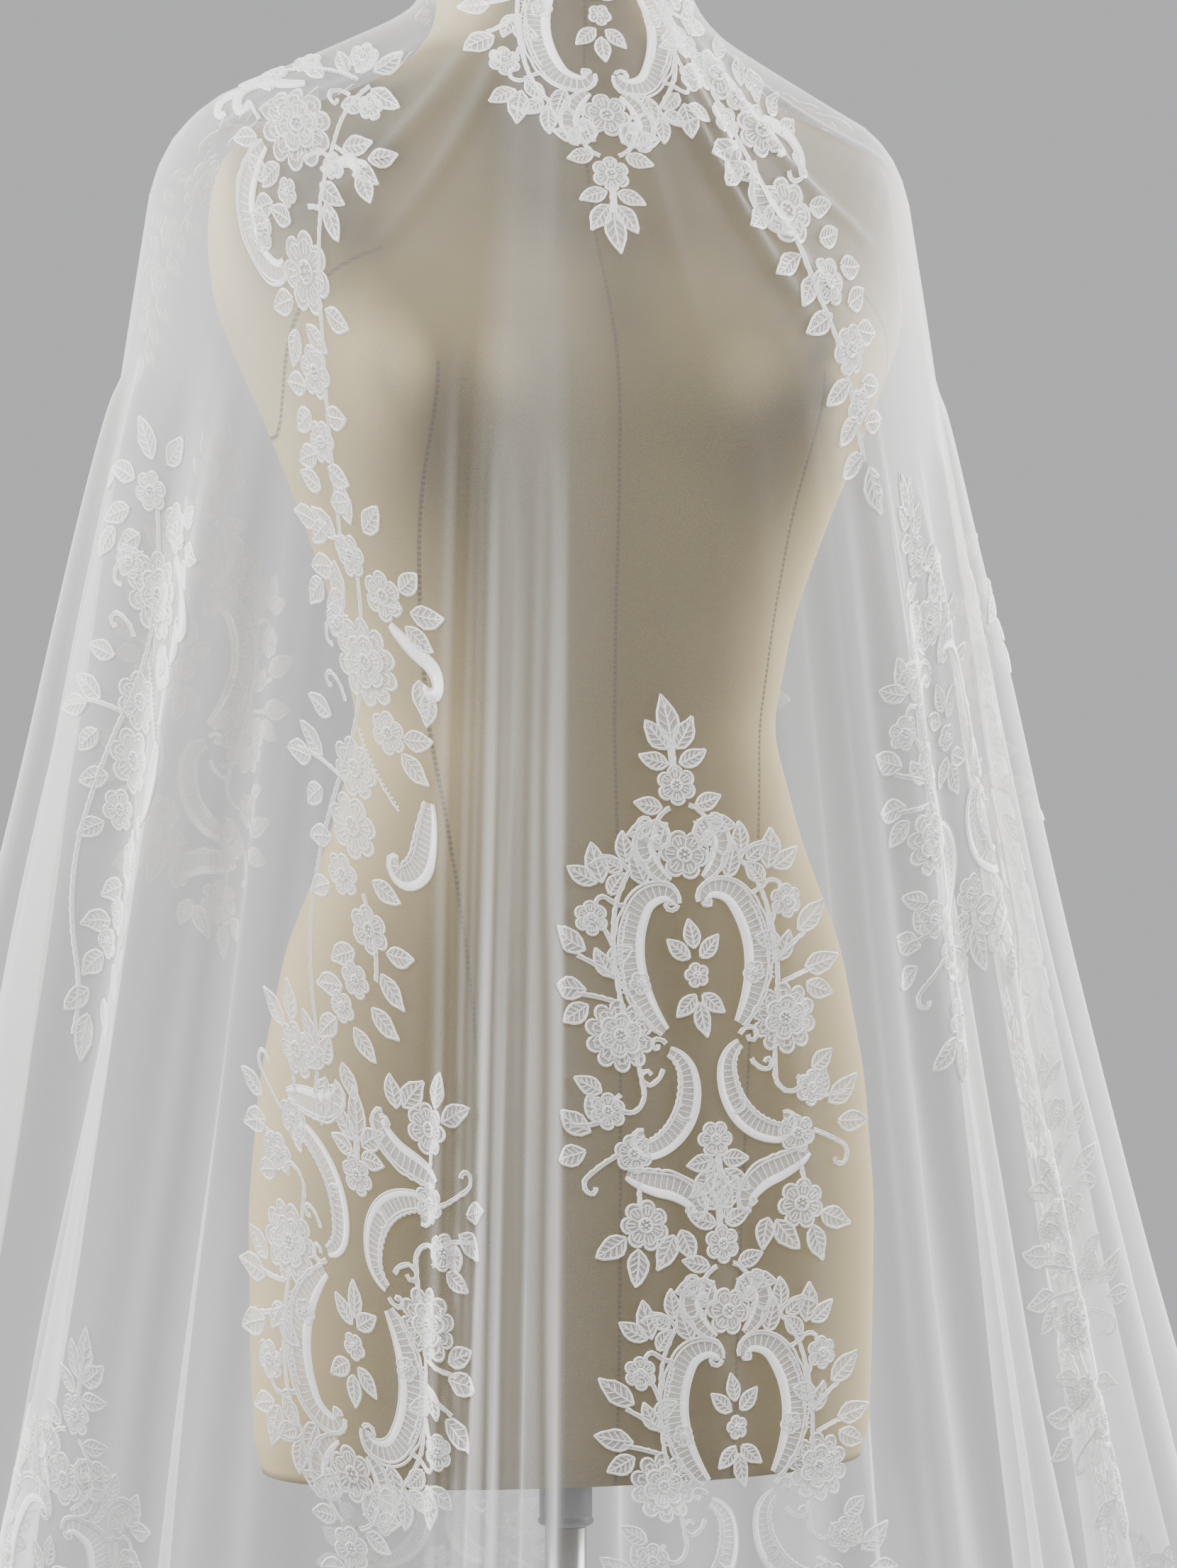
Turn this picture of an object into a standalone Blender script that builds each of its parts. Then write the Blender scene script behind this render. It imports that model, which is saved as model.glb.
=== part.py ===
"""A sheer bridal veil with corded lace, draped over a limbless dress form on a pole.

Metres, +Z up. The form faces -Y, and the origin is the middle of the foot plate's underside.
An angle round the axis is 0 at the front and grows towards +X.
"""

import math

import bmesh
import bpy
import numpy as np
from mathutils import Matrix

# Driving sizes of the stand
FOOT_RADIUS = 0.18
FOOT_THICK = 0.014
POLE_RADIUS = 0.0115
COLLAR_RADIUS = 0.0155
COLLAR_LENGTH = 0.034
GAP = 0.0003

# Driving sizes of the form
FORM_BOTTOM = 0.727
NECK_TOP = 1.585
NECK_CAP_THICK = 0.004
NECK_CAP_SHARE = 0.97
NECK_CENTRE = (0.0, 0.025)
ARM_PLANE = 0.173
ARM_PLATE_THICK = 0.003
ARM_PLATE_SHARE = 0.94
BUST_POINT = (0.105, 1.318)
BUST_RISE = 0.040
BUST_SPREAD = (0.046, 0.052)
FORM_COLUMNS = 32
NECK_ROUND_ABOVE = 1.5

# The form's level sections: height, half width, depth in front, depth behind, squareness
FORM_SECTIONS = (
    (0.727, 0.166, 0.088, 0.104, 2.1),
    (0.733, 0.173, 0.094, 0.110, 2.1),
    (0.790, 0.175, 0.098, 0.118, 2.1),
    (0.870, 0.176, 0.100, 0.122, 2.1),
    (0.940, 0.170, 0.100, 0.116, 2.1),
    (1.010, 0.156, 0.098, 0.100, 2.1),
    (1.070, 0.132, 0.095, 0.086, 2.1),
    (1.130, 0.1155, 0.090, 0.078, 2.1),
    (1.190, 0.127, 0.092, 0.084, 2.2),
    (1.250, 0.148, 0.098, 0.092, 2.3),
    (1.300, 0.168, 0.100, 0.099, 2.4),
    (1.330, 0.182, 0.095, 0.101, 2.5),
    (1.360, 0.194, 0.080, 0.102, 2.6),
    (1.395, 0.198, 0.056, 0.100, 2.7),
    (1.425, 0.196, 0.043, 0.090, 2.6),
    (1.448, 0.186, 0.036, 0.076, 2.4),
    (1.466, 0.150, 0.034, 0.070, 2.2),
    (1.484, 0.100, 0.034, 0.074, 2.1),
    (1.515, 0.066, 0.036, 0.086, 2.0),
    (1.585, 0.0625, 0.037, 0.086, 2.0),
)

# Driving sizes of the tulle
WALL = 0.0012
CLOTH_TOP = NECK_TOP + GAP + NECK_CAP_THICK + GAP + WALL
CROWN_FLAT = 0.0612
CROWN_BEND_SHARE = 0.98
CROWN_BEND_DROP = 0.0015
SWING_RISE = 0.45
COLUMNS_A_FOLD = 8
COLUMNS_A_GENTLE_FOLD = 5
ROUNDING = 9.0
CROWN_COLUMNS = 30
SEAM_HALF = 0.00028
MEANDER_STEPS = 240

# Where the cloth bends, by angle either side of the front: the neck's rim and base, measured
# from the neck's middle: angle, radius, height
RIM_LINE = ((-180, 0.068, 1.584), (180, 0.068, 1.584))
NECK_LINE = (
    (-180, 0.070, 1.526),
    (-90, 0.070, 1.528),
    (-50, 0.075, 1.530),
    (0, 0.083, 1.531),
    (50, 0.075, 1.530),
    (90, 0.070, 1.528),
    (180, 0.070, 1.526),
)

# The line over the bust, shoulders and shoulder blades, from the axis: angle, radius, height.
# On the left the sheet stands further off the back of the shoulder
SUPPORT_LINE = (
    (-180, 0.118, 1.390),
    (-140, 0.172, 1.398),
    (-122, 0.208, 1.420),
    (-106, 0.224, 1.444),
    (-92, 0.214, 1.462),
    (-80, 0.204, 1.462),
    (-62, 0.184, 1.392),
    (-40, 0.177, 1.330),
    (-28, 0.160, 1.326),
    (0, 0.140, 1.326),
    (28, 0.158, 1.326),
    (40, 0.174, 1.330),
    (58, 0.172, 1.385),
    (74, 0.178, 1.438),
    (90, 0.191, 1.464),
    (104, 0.188, 1.458),
    (122, 0.170, 1.430),
    (140, 0.148, 1.395),
    (180, 0.118, 1.390),
)

# The hem's inner line, which rises at the sides as an oval cut does: angle, radius, height
HEM_LINE = (
    (-180, 0.370, 0.030),
    (-150, 0.390, 0.055),
    (-120, 0.405, 0.200),
    (-90, 0.380, 0.380),
    (-60, 0.370, 0.200),
    (-30, 0.360, 0.055),
    (0, 0.350, 0.030),
    (30, 0.360, 0.055),
    (60, 0.352, 0.200),
    (90, 0.368, 0.380),
    (120, 0.395, 0.200),
    (150, 0.390, 0.055),
    (180, 0.370, 0.030),
)

# Rows of the draped sheet: share of the way from the rim (0) over the neck's base (1) and the
# support line (2) to the hem (3)
DRAPE_ROWS = (
    0.10, 0.90, 1.40, 1.86, 2.02, 2.12, 2.26, 2.43, 2.62, 2.81, 3.0,
)

# Folds one after another round the sheet from the front: angle of the fold's right edge at the
# support line, the same at the hem, row where it starts, swing in degrees at the hem
FOLDS = (
    (-16, -18, 2.45, 46),
    (11, 5, 2.45, 46),
    (38, 28, 2.04, 70),
    (49, 43, 2.10, 90),
    (62, 59, 2.12, 100),
    (75, 76, 2.12, 104),
    (88, 93, 2.08, 104),
    (102, 110, 2.04, 108),
    (118, 128, 2.04, 100),
    (135, 146, 2.04, 84),
    (158, 164, 2.50, 46),
    (180, 180, 2.50, 46),
    (202, 196, 2.04, 84),
    (222, 214, 2.04, 102),
    (238, 231, 2.10, 106),
    (253, 248, 2.12, 106),
    (268, 265, 2.12, 104),
    (283, 282, 2.10, 90),
    (299, 298, 2.40, 46),
    (328, 329, 2.04, 66),
    (336, 335, 2.04, 60),
)
GENTLE_START = 2.2

# Lace: height and half width along each kind of piece, with the round gaps of its pattern
MEDALLION = (
    (-1.00, 0.06),
    (-0.80, 0.50),
    (-0.62, 0.78),
    (-0.50, 0.66),
    (-0.25, 0.96),
    (0.00, 1.00),
    (0.20, 0.86),
    (0.42, 0.62),
    (0.55, 0.60),
    (0.75, 0.34),
    (1.00, 0.05),
)
MEDALLION_GAPS = (
    (0.00, -0.42, 0.15, 0.110),
    (0.00, 0.30, 0.15, 0.120),
    (0.46, 0.08, 0.16, 0.110),
    (-0.46, 0.08, 0.16, 0.110),
    (0.42, -0.24, 0.15, 0.100),
    (-0.42, -0.24, 0.15, 0.100),
)
GARLAND = (
    (-1.00, 0.12),
    (-0.80, 0.62),
    (-0.64, 0.30),
    (-0.46, 0.78),
    (-0.28, 0.36),
    (-0.06, 0.92),
    (0.16, 0.50),
    (0.36, 1.00),
    (0.62, 0.62),
    (0.80, 0.88),
    (1.00, 0.30),
)
GARLAND_GAPS = ((0.0, -0.46, 0.26, 0.055), (0.0, -0.06, 0.28, 0.060), (0.0, 0.40, 0.30, 0.065))
THROAT = (
    (-1.00, 0.05),
    (-0.78, 0.30),
    (-0.60, 0.34),
    (-0.36, 0.66),
    (-0.10, 0.72),
    (0.15, 0.92),
    (0.50, 1.00),
    (0.80, 0.86),
    (1.00, 0.60),
)
THROAT_GAPS = (
    (0.00, -0.30, 0.16, 0.110),
    (0.40, 0.10, 0.16, 0.130),
    (-0.40, 0.10, 0.16, 0.130),
    (0.00, 0.52, 0.20, 0.120),
)

# Lace pieces: name, angle and height of the middle, half width, half length, lean from upright
# in degrees, pattern
LACE_PIECES = (
    ("lace_throat", 0, 1.445, 0.056, 0.085, 0, "throat"),
    ("lace_right_shoulder", 58, 1.440, 0.028, 0.080, -6, "garland"),
    ("lace_left_shoulder", -62, 1.445, 0.034, 0.080, 6, "garland"),
    ("lace_left_medallion", -45, 1.090, 0.046, 0.140, 0, "medallion"),
    ("lace_front_medallion", 13, 1.010, 0.072, 0.146, 0, "medallion"),
    ("lace_front_lower_medallion", 12, 0.700, 0.060, 0.130, 0, "medallion"),
    ("lace_front_hem_medallion", 2, 0.330, 0.085, 0.160, 0, "medallion"),
    ("lace_back_neck", 180, 1.440, 0.050, 0.088, 0, "throat"),
    ("lace_back_right_shoulder", 118, 1.470, 0.030, 0.060, 14, "garland"),
    ("lace_back_left_shoulder", -118, 1.470, 0.030, 0.060, -14, "garland"),
    ("lace_back_medallion", 180, 1.060, 0.072, 0.150, 0, "medallion"),
    ("lace_back_lower_medallion", 180, 0.700, 0.060, 0.130, 0, "medallion"),
    ("lace_back_hem_medallion", 180, 0.330, 0.085, 0.160, 0, "medallion"),
)
PATTERNS = {
    "medallion": (MEDALLION, MEDALLION_GAPS),
    "garland": (GARLAND, GARLAND_GAPS),
    "throat": (THROAT, THROAT_GAPS),
}
LACE_THICK = 0.0011
LACE_LIFT = 0.0008
LACE_EDGE_POINTS = 24
LACE_GAP_POINTS = 6
LACE_REACH = 0.075
LACE_PATCH_ANGLE = 65.0
LACE_PATCH_MARGIN = 0.10
LACE_COLUMNS_APART = 0.005
SMOOTH_ABOVE = 1.35

# Colour, roughness and metallic value of each finish
FINISHES = {
    "tulle": ((0.86, 0.86, 0.85), 0.75, 0.0),
    "lace": ((0.90, 0.90, 0.89), 0.55, 0.0),
    "form_cover": ((0.62, 0.58, 0.48), 0.85, 0.0),
    "collar": ((0.10, 0.10, 0.10), 0.45, 0.0),
    "steel": ((0.36, 0.36, 0.35), 0.32, 1.0),
}


def clear_scene():
    """Removes the objects that the file opened with."""
    for thing in list(bpy.data.objects):
        bpy.data.objects.remove(thing, do_unlink=True)


def collection(name):
    """A new collection in the scene."""
    made = bpy.data.collections.new(name)
    bpy.context.scene.collection.children.link(made)
    return made


def finish(name):
    """The material of that name, made on its first use."""
    if name in bpy.data.materials:
        return bpy.data.materials[name]
    colour, roughness, metallic = FINISHES[name]
    made = bpy.data.materials.new(name)
    made.use_nodes = True
    shader = made.node_tree.nodes["Principled BSDF"]
    shader.inputs["Base Color"].default_value = (*colour, 1.0)
    shader.inputs["Roughness"].default_value = roughness
    shader.inputs["Metallic"].default_value = metallic
    return made


def mesh_object(name, points, faces, home, finish_name):
    """An object with these points and faces."""
    mesh = bpy.data.meshes.new(name)
    mesh.from_pydata([tuple(map(float, p)) for p in points], [], [tuple(map(int, f)) for f in faces])
    made = bpy.data.objects.new(name, mesh)
    if finish_name:
        made.data.materials.append(finish(finish_name))
    home.objects.link(made)
    return made


def round_piece(name, radius, low, high, home, finish_name, segments=32):
    """A cylinder on the axis, between two heights."""
    mesh = bpy.data.meshes.new(name)
    shape = bmesh.new()
    bmesh.ops.create_cone(
        shape,
        cap_ends=True,
        segments=segments,
        radius1=radius,
        radius2=radius,
        depth=high - low,
    )
    shape.to_mesh(mesh)
    shape.free()
    made = bpy.data.objects.new(name, mesh)
    made.location = (0.0, 0.0, (low + high) / 2)
    made.data.materials.append(finish(finish_name))
    home.objects.link(made)
    return made


# The form


def form_section(angles, half_width, front, back, squareness):
    """One level section: a squared ellipse with its own depths in front and behind."""
    across = np.sin(angles)
    ahead = np.cos(angles)
    power = 2.0 / squareness
    x = half_width * np.sign(across) * np.abs(across) ** power
    depth = np.where(ahead > 0, front, back)
    y = -depth * np.sign(ahead) * np.abs(ahead) ** power
    return x, y


def form_points():
    """Rows of points up the torso, with the bust raised from the front."""
    angles = np.linspace(0, 2 * math.pi, FORM_COLUMNS, endpoint=False)
    rows = []
    for height, half_width, front, back, squareness in FORM_SECTIONS:
        x, y = form_section(angles, half_width, front, back, squareness)
        side = (np.abs(x) - BUST_POINT[0]) / BUST_SPREAD[0]
        rise = (height - BUST_POINT[1]) / BUST_SPREAD[1]
        bust = BUST_RISE * math.exp(-rise * rise) * np.exp(-side * side)
        y = np.where(y < 0, y - bust, y)
        if height > NECK_ROUND_ABOVE:
            middle = (back - front) / 2
            reach = (back + front) / 2
            y = middle - reach * np.cos(angles)
        rows.append(np.stack([x, y, np.full_like(x, height)], axis=1))
    return np.array(rows)


def build_form(home):
    """The torso, cut flat at the armholes, with a plate on each and a cap on the neck."""
    rows = form_points()
    count, around, _ = rows.shape
    faces = []
    for r in range(count - 1):
        for c in range(around):
            n = (c + 1) % around
            faces.append((r * around + c, r * around + n, (r + 1) * around + n, (r + 1) * around + c))
    faces.append(tuple(reversed(range(around))))
    faces.append(tuple((count - 1) * around + c for c in range(around)))
    torso = mesh_object("torso", rows.reshape(-1, 3), faces, home, "form_cover")
    shape = bmesh.new()
    shape.from_mesh(torso.data)
    for side in (1, -1):
        cut = bmesh.ops.bisect_plane(
            shape,
            geom=shape.verts[:] + shape.edges[:] + shape.faces[:],
            plane_co=(side * ARM_PLANE, 0, 0),
            plane_no=(side, 0, 0),
            clear_outer=True,
        )
        edges = [e for e in cut["geom_cut"] if isinstance(e, bmesh.types.BMEdge)]
        made = bmesh.ops.holes_fill(shape, edges=edges, sides=0)
        arm_plate(shape, made["faces"], side, home)
    bmesh.ops.recalc_face_normals(shape, faces=shape.faces[:])
    shape.to_mesh(torso.data)
    shape.free()
    torso.data.shade_smooth()

    top = rows[-1]
    centre = top.mean(axis=0)
    low = centre + (top - centre) * NECK_CAP_SHARE + np.array([0, 0, GAP])
    high = low + np.array([0, 0, NECK_CAP_THICK])
    n = len(low)
    faces = [(c, (c + 1) % n, n + (c + 1) % n, n + c) for c in range(n)]
    faces += [tuple(reversed(range(n))), tuple(n + c for c in range(n))]
    mesh_object("neck_cap", np.concatenate([low, high]), faces, home, "form_cover")


def arm_plate(shape, faces, side, home):
    """A thin plate just off the flat armhole, drawn in a little from its edge."""
    outline = [v.co.copy() for v in faces[0].verts]
    centre = sum(outline, outline[0] * 0) / len(outline)
    inner = np.array([centre + (p - centre) * 0.94 for p in outline])
    inner[:, 0] = side * (ARM_PLANE + GAP)
    outer = inner + np.array([side * ARM_PLATE_THICK, 0, 0])
    n = len(inner)
    rim = [(c, (c + 1) % n, n + (c + 1) % n, n + c) for c in range(n)]
    rim += [tuple(reversed(range(n))), tuple(n + c for c in range(n))]
    plate = mesh_object(
        "right_arm_plate" if side > 0 else "left_arm_plate",
        np.concatenate([inner, outer]),
        rim,
        home,
        "form_cover",
    )
    own = bmesh.new()
    own.from_mesh(plate.data)
    bmesh.ops.recalc_face_normals(own, faces=own.faces[:])
    own.to_mesh(plate.data)
    own.free()


def build_stand(home):
    """Foot plate, pole and the collar under the torso, one on top of another."""
    round_piece("foot_plate", FOOT_RADIUS, 0.0, FOOT_THICK, home, "steel", 48)
    collar_top = FORM_BOTTOM - GAP
    collar_low = collar_top - COLLAR_LENGTH
    round_piece("collar", COLLAR_RADIUS, collar_low, collar_top, home, "collar")
    round_piece("pole", POLE_RADIUS, FOOT_THICK + GAP, collar_low - GAP, home, "steel")


# The tulle


def along(table, angles, column):
    """A table's column round the axis, its corners rounded by an average over a few degrees."""
    table = np.array(table, dtype=float)
    total = np.zeros_like(angles)
    offsets = np.linspace(-ROUNDING, ROUNDING, 7)
    for offset in offsets:
        turned = (angles + offset + 180.0) % 360.0 - 180.0
        total += np.interp(turned, table[:, 0], table[:, column])
    return total / len(offsets)


def line_points(table, angles, centre=(0.0, 0.0)):
    """Points of one of the cloth's bend lines at these angles, in degrees."""
    radius = along(table, angles, 1)
    turn = np.radians(angles)
    x = centre[0] + radius * np.sin(turn)
    y = centre[1] - radius * np.cos(turn)
    return np.stack([x, y, along(table, angles, 2)], axis=-1)


def drape(angles, row):
    """The unfolded sheet at a share of the way from rim to hem, by bend line."""
    lines = (
        line_points(RIM_LINE, angles, NECK_CENTRE),
        line_points(NECK_LINE, angles, NECK_CENTRE),
        line_points(SUPPORT_LINE, angles),
        line_points(HEM_LINE, angles),
    )
    whole = min(int(row), 2)
    share = row - whole
    return lines[whole] * (1 - share) + lines[whole + 1] * share


def fold_columns():
    """For each column of the sheet: its fold, and its share of the way across that fold."""
    fold, share = [], []
    for index, (_, _, begins, _) in enumerate(FOLDS):
        count = COLUMNS_A_FOLD if begins < GENTLE_START else COLUMNS_A_GENTLE_FOLD
        for step in range(count):
            fold.append(index)
            share.append(step / count)
    return np.array(fold), np.array(share)


def meander(swing, share):
    """How far across and out a fold has gone at each share of its length, as shares of its
    width: its direction swings to either side like a river's bends, and it ends where it began."""
    fine = np.linspace(0, 1, MEANDER_STEPS + 1)
    turn = swing * np.sin(2 * math.pi * fine)
    step = 1.0 / MEANDER_STEPS
    across = np.concatenate([[0], np.cumsum(np.cos((turn[1:] + turn[:-1]) / 2)) * step])
    out = np.concatenate([[0], np.cumsum(np.sin((turn[1:] + turn[:-1]) / 2)) * step])
    return np.interp(share, fine, across / across[-1]), np.interp(share, fine, out / across[-1])


def sheet_row(row):
    """One row of the folded sheet's points, all round."""
    fold, share = fold_columns()
    down = max(row - 2.0, 0.0)
    angles = np.zeros(len(fold))
    out = np.zeros(len(fold))
    for index, (top_edge, hem_edge, begins, swing) in enumerate(FOLDS):
        next_top, next_hem = FOLDS[(index + 1) % len(FOLDS)][:2]
        turn = 360.0 if index == len(FOLDS) - 1 else 0.0
        start = top_edge + (hem_edge - top_edge) * down
        width = next_top + turn + (next_hem - next_top) * down - start
        mine = fold == index
        folded = max(row - begins, 0.0) / (3.0 - begins)
        size = math.radians(swing) * folded**SWING_RISE
        across, away = meander(size, share[mine])
        angles[mine] = start + width * across
        radius = float(np.hypot(*drape(np.array([start + width / 2]), row)[0, :2]))
        out[mine] = away * math.radians(width) * radius
    base = drape(angles, row)
    ahead = drape(angles + 1.0, row)[:, :2] - drape(angles - 1.0, row)[:, :2]
    ahead /= np.linalg.norm(ahead, axis=1)[:, None]
    base[:, 0] += ahead[:, 1] * out
    base[:, 1] -= ahead[:, 0] * out
    return base


def sheet_grid():
    """Every row of the sheet, from the rim to the hem."""
    return np.array([sheet_row(row) for row in DRAPE_ROWS])


def grid_normals(grid):
    """Outward directions at the points of a grid that closes round the axis."""
    around = np.roll(grid, -1, axis=1) - np.roll(grid, 1, axis=1)
    down = np.gradient(grid, axis=0)
    normals = np.cross(around, -down)
    return normals / np.linalg.norm(normals, axis=2)[:, :, None]


def strip_faces(rows, columns):
    """Triangles of an open grid, all quads cut the same way, facing out."""
    faces = []
    for r in range(rows - 1):
        for c in range(columns - 1):
            a, b = r * columns + c, r * columns + c + 1
            d, e = a + columns, b + columns
            faces.append((a, d, e))
            faces.append((a, e, b))
    return faces


def give_wall(thing, thickness, outwards):
    """Turns an open surface into a wall inside it, or outside it."""
    wall = thing.modifiers.new("wall", "SOLIDIFY")
    wall.thickness = thickness
    wall.offset = 1.0 if outwards else -1.0
    wall.use_even_offset = True
    wall.use_quality_normals = True
    wall.thickness_clamp = 1.0


def ease_seam(panel):
    """Draws a panel's side and top edges in, so that neighbours stay just apart."""
    eased = panel.copy()
    for edge, inner in ((0, 1), (-1, -2)):
        step = panel[:, inner] - panel[:, edge]
        eased[:, edge] += step / np.linalg.norm(step, axis=1)[:, None] * SEAM_HALF
    step = eased[1] - eased[0]
    eased[0] += step / np.linalg.norm(step, axis=1)[:, None] * SEAM_HALF
    return eased


def build_panels(grid, home):
    """Front, right, back and left stretches of the one sheet, parted in the folds' valleys."""
    fold, _ = fold_columns()
    starts = {"veil_right": 3, "veil_back": 8, "veil_left": 14, "veil_front": 18}
    names = list(starts)
    edges = [int(np.argmax(fold == starts[name])) for name in names]
    total = grid.shape[1]
    for index, name in enumerate(names):
        first = edges[index]
        last = edges[(index + 1) % len(names)]
        span = (last - first) % total
        picked = [(first + k) % total for k in range(span + 1)]
        panel = ease_seam(grid[:, picked])
        rows, columns, _ = panel.shape
        made = mesh_object(name, panel.reshape(-1, 3), strip_faces(rows, columns), home, "tulle")
        give_wall(made, WALL, False)


def build_crown(grid, home):
    """The stretch over the neck cap: flat in the middle, rounded over the rim."""
    angles = np.linspace(0, 360, CROWN_COLUMNS, endpoint=False)
    rim = drape(angles, 0.0)
    edge = drape(angles, DRAPE_ROWS[0])
    second = drape(angles, DRAPE_ROWS[0] * 1.5)
    centre = np.array([NECK_CENTRE[0], NECK_CENTRE[1], CLOTH_TOP])
    flat = centre + (rim - centre) * (CROWN_FLAT / RIM_LINE[0][1])
    flat[:, 2] = CLOTH_TOP
    bend = centre + (rim - centre) * CROWN_BEND_SHARE
    bend[:, 2] = CLOTH_TOP - CROWN_BEND_DROP
    drop = edge - second
    edge = edge + drop / np.linalg.norm(drop, axis=1)[:, None] * SEAM_HALF
    points = np.concatenate([[centre], flat, bend, rim, edge])
    n = CROWN_COLUMNS
    faces = [(0, 1 + c, 1 + (c + 1) % n) for c in range(n)]
    for r in range(3):
        for c in range(n):
            a, b = 1 + r * n + c, 1 + r * n + (c + 1) % n
            faces += [(a, a + n, b + n), (a, b + n, b)]
    crown = mesh_object("veil_crown", points, faces, home, "tulle")
    give_wall(crown, WALL, False)


# The lace


def smooth_outline(table, half_width, half_length, count):
    """Closed outline, up the right side and down the left, through the table's half widths."""
    table = np.array(table)
    fine = np.linspace(-1, 1, count // 2)
    widths = np.interp(fine, table[:, 0], table[:, 1]) * half_width
    right = np.stack([widths, fine * half_length], axis=1)
    left = right[::-1] * np.array([-1, 1])
    return np.concatenate([right, left])


def lace_cutter(name, pattern, half_width, half_length, home):
    """The piece's outline with its gaps, as a slab that stands across the cloth."""
    table, gaps = PATTERNS[pattern]
    curve = bpy.data.curves.new(name + "_outline", "CURVE")
    curve.dimensions = "2D"
    curve.fill_mode = "BOTH"
    curve.extrude = LACE_REACH
    loops = [smooth_outline(table, half_width, half_length, LACE_EDGE_POINTS)]
    turns = np.linspace(0, 2 * math.pi, LACE_GAP_POINTS, endpoint=False)
    for across, up, wide, tall in gaps:
        x = across * half_width + wide * half_width * np.cos(turns)
        y = up * half_length + tall * half_length * np.sin(turns)
        loops.append(np.stack([x, y], axis=1))
    for loop in loops:
        spline = curve.splines.new("POLY")
        spline.points.add(len(loop) - 1)
        flat = np.column_stack([loop, np.zeros(len(loop)), np.ones(len(loop))])
        spline.points.foreach_set("co", flat.ravel())
        spline.use_cyclic_u = True
    made = bpy.data.objects.new(name + "_outline", curve)
    home.objects.link(made)
    return made


def mesh_from_curve(thing, home):
    """A mesh object in place of the curve, its caps welded to its sides."""
    graph = bpy.context.evaluated_depsgraph_get()
    mesh = bpy.data.meshes.new_from_object(thing.evaluated_get(graph))
    made = bpy.data.objects.new(thing.name + "_cutter", mesh)
    made.matrix_world = thing.matrix_world.copy()
    home.objects.link(made)
    bpy.data.objects.remove(thing, do_unlink=True)
    shape = bmesh.new()
    shape.from_mesh(mesh)
    bmesh.ops.remove_doubles(shape, verts=shape.verts[:], dist=0.00001)
    bmesh.ops.recalc_face_normals(shape, faces=shape.faces[:])
    shape.to_mesh(mesh)
    shape.free()
    made.hide_render = True
    made.display_type = "WIRE"
    return made


def sheet_tilt(grid, normals, target):
    """How far the sheet leans back from upright at its point nearest to this one."""
    apart = np.linalg.norm(grid - target, axis=2)
    facing = normals[np.unravel_index(np.argmin(apart), apart.shape)]
    return math.asin(float(facing[2]))


def build_lace(grid, home, cutters):
    """Each lace piece: a thin wall over the sheet's own points, cut to the piece's outline."""
    normals = grid_normals(grid)
    lifted = grid + normals * LACE_LIFT
    bearing = np.degrees(np.arctan2(grid[:, :, 0], NECK_CENTRE[1] - grid[:, :, 1]))
    rows, columns, _ = grid.shape
    for name, angle, height, half_width, half_length, lean, pattern in LACE_PIECES:
        target = drape_point(angle, height)
        near = np.linalg.norm(lifted - target, axis=2) < 1.5 * half_length + LACE_PATCH_MARGIN
        near &= np.abs((bearing - angle + 180) % 360 - 180) < LACE_PATCH_ANGLE
        used_rows = np.flatnonzero(near.any(axis=1))
        used_columns = np.flatnonzero(near.any(axis=0))
        low_row, high_row = max(used_rows.min() - 1, 0), min(used_rows.max() + 2, rows)
        order = window(used_columns, columns)
        if height > SMOOTH_ABOVE:
            order = thinned(order, lifted[2])
        patch = lifted[low_row:high_row][:, order]
        shape_rows, shape_columns, _ = patch.shape
        piece = mesh_object(
            name, patch.reshape(-1, 3), strip_faces(shape_rows, shape_columns), home, "lace"
        )
        give_wall(piece, LACE_THICK, True)

        tilt = sheet_tilt(grid, normals, target)
        outline = lace_cutter(name, pattern, half_width, half_length, cutters)
        outline.rotation_euler = lace_turn(math.radians(angle), tilt, math.radians(lean))
        outline.location = tuple(target)
        bpy.context.view_layer.update()
        cutter = mesh_from_curve(outline, cutters)
        cut = piece.modifiers.new("outline", "BOOLEAN")
        cut.operation = "INTERSECT"
        cut.object = cutter
        cut.solver = "EXACT"


def lace_turn(turn, tilt, lean):
    """Euler angles that stand an outline up, lean it, tip it back and turn it to its angle."""
    stand = Matrix.Rotation(math.pi / 2 - tilt, 3, "X")
    spin = Matrix.Rotation(lean, 3, "Z")
    face = Matrix.Rotation(turn, 3, "Z")
    return (face @ stand @ spin).to_euler("XYZ")


def drape_point(angle, height):
    """The unfolded sheet's point at an angle and a height."""
    rows = np.linspace(0, 3, 301)
    points = np.array([drape(np.array([float(angle)]), row)[0] for row in rows])
    return points[int(np.argmin(np.abs(points[:, 2] - height)))]


def thinned(order, row):
    """The columns of this run that stand well apart on a row: the others lie between them."""
    kept = [order[0]]
    for column in order[1:]:
        if np.linalg.norm(row[column] - row[kept[-1]]) > LACE_COLUMNS_APART:
            kept.append(column)
    return kept


def window(used, total):
    """The run of columns in use, in order, also where it passes the grid's first column."""
    gaps = np.diff(np.concatenate([used, [used[0] + total]]))
    widest = int(np.argmax(gaps))
    first = used[(widest + 1) % len(used)]
    count = len(used) + 2 if gaps[widest] > 3 else total
    return [(first - 1 + k) % total for k in range(count)]


def build():
    """The whole part."""
    clear_scene()
    parts = collection("bridal_veil_on_dress_form")
    cutters = collection("cutters")
    build_stand(parts)
    build_form(parts)
    grid = sheet_grid()
    build_crown(grid, parts)
    build_panels(grid, parts)
    build_lace(grid, parts, cutters)


build()
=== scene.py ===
"""A sheer bridal veil with corded lace, draped over a limbless dress form on a pole: its looks.

Metres, +Z up. The form faces -Y, and an angle round the axis is 0 at the front and grows to +X.
"""
import math

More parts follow.
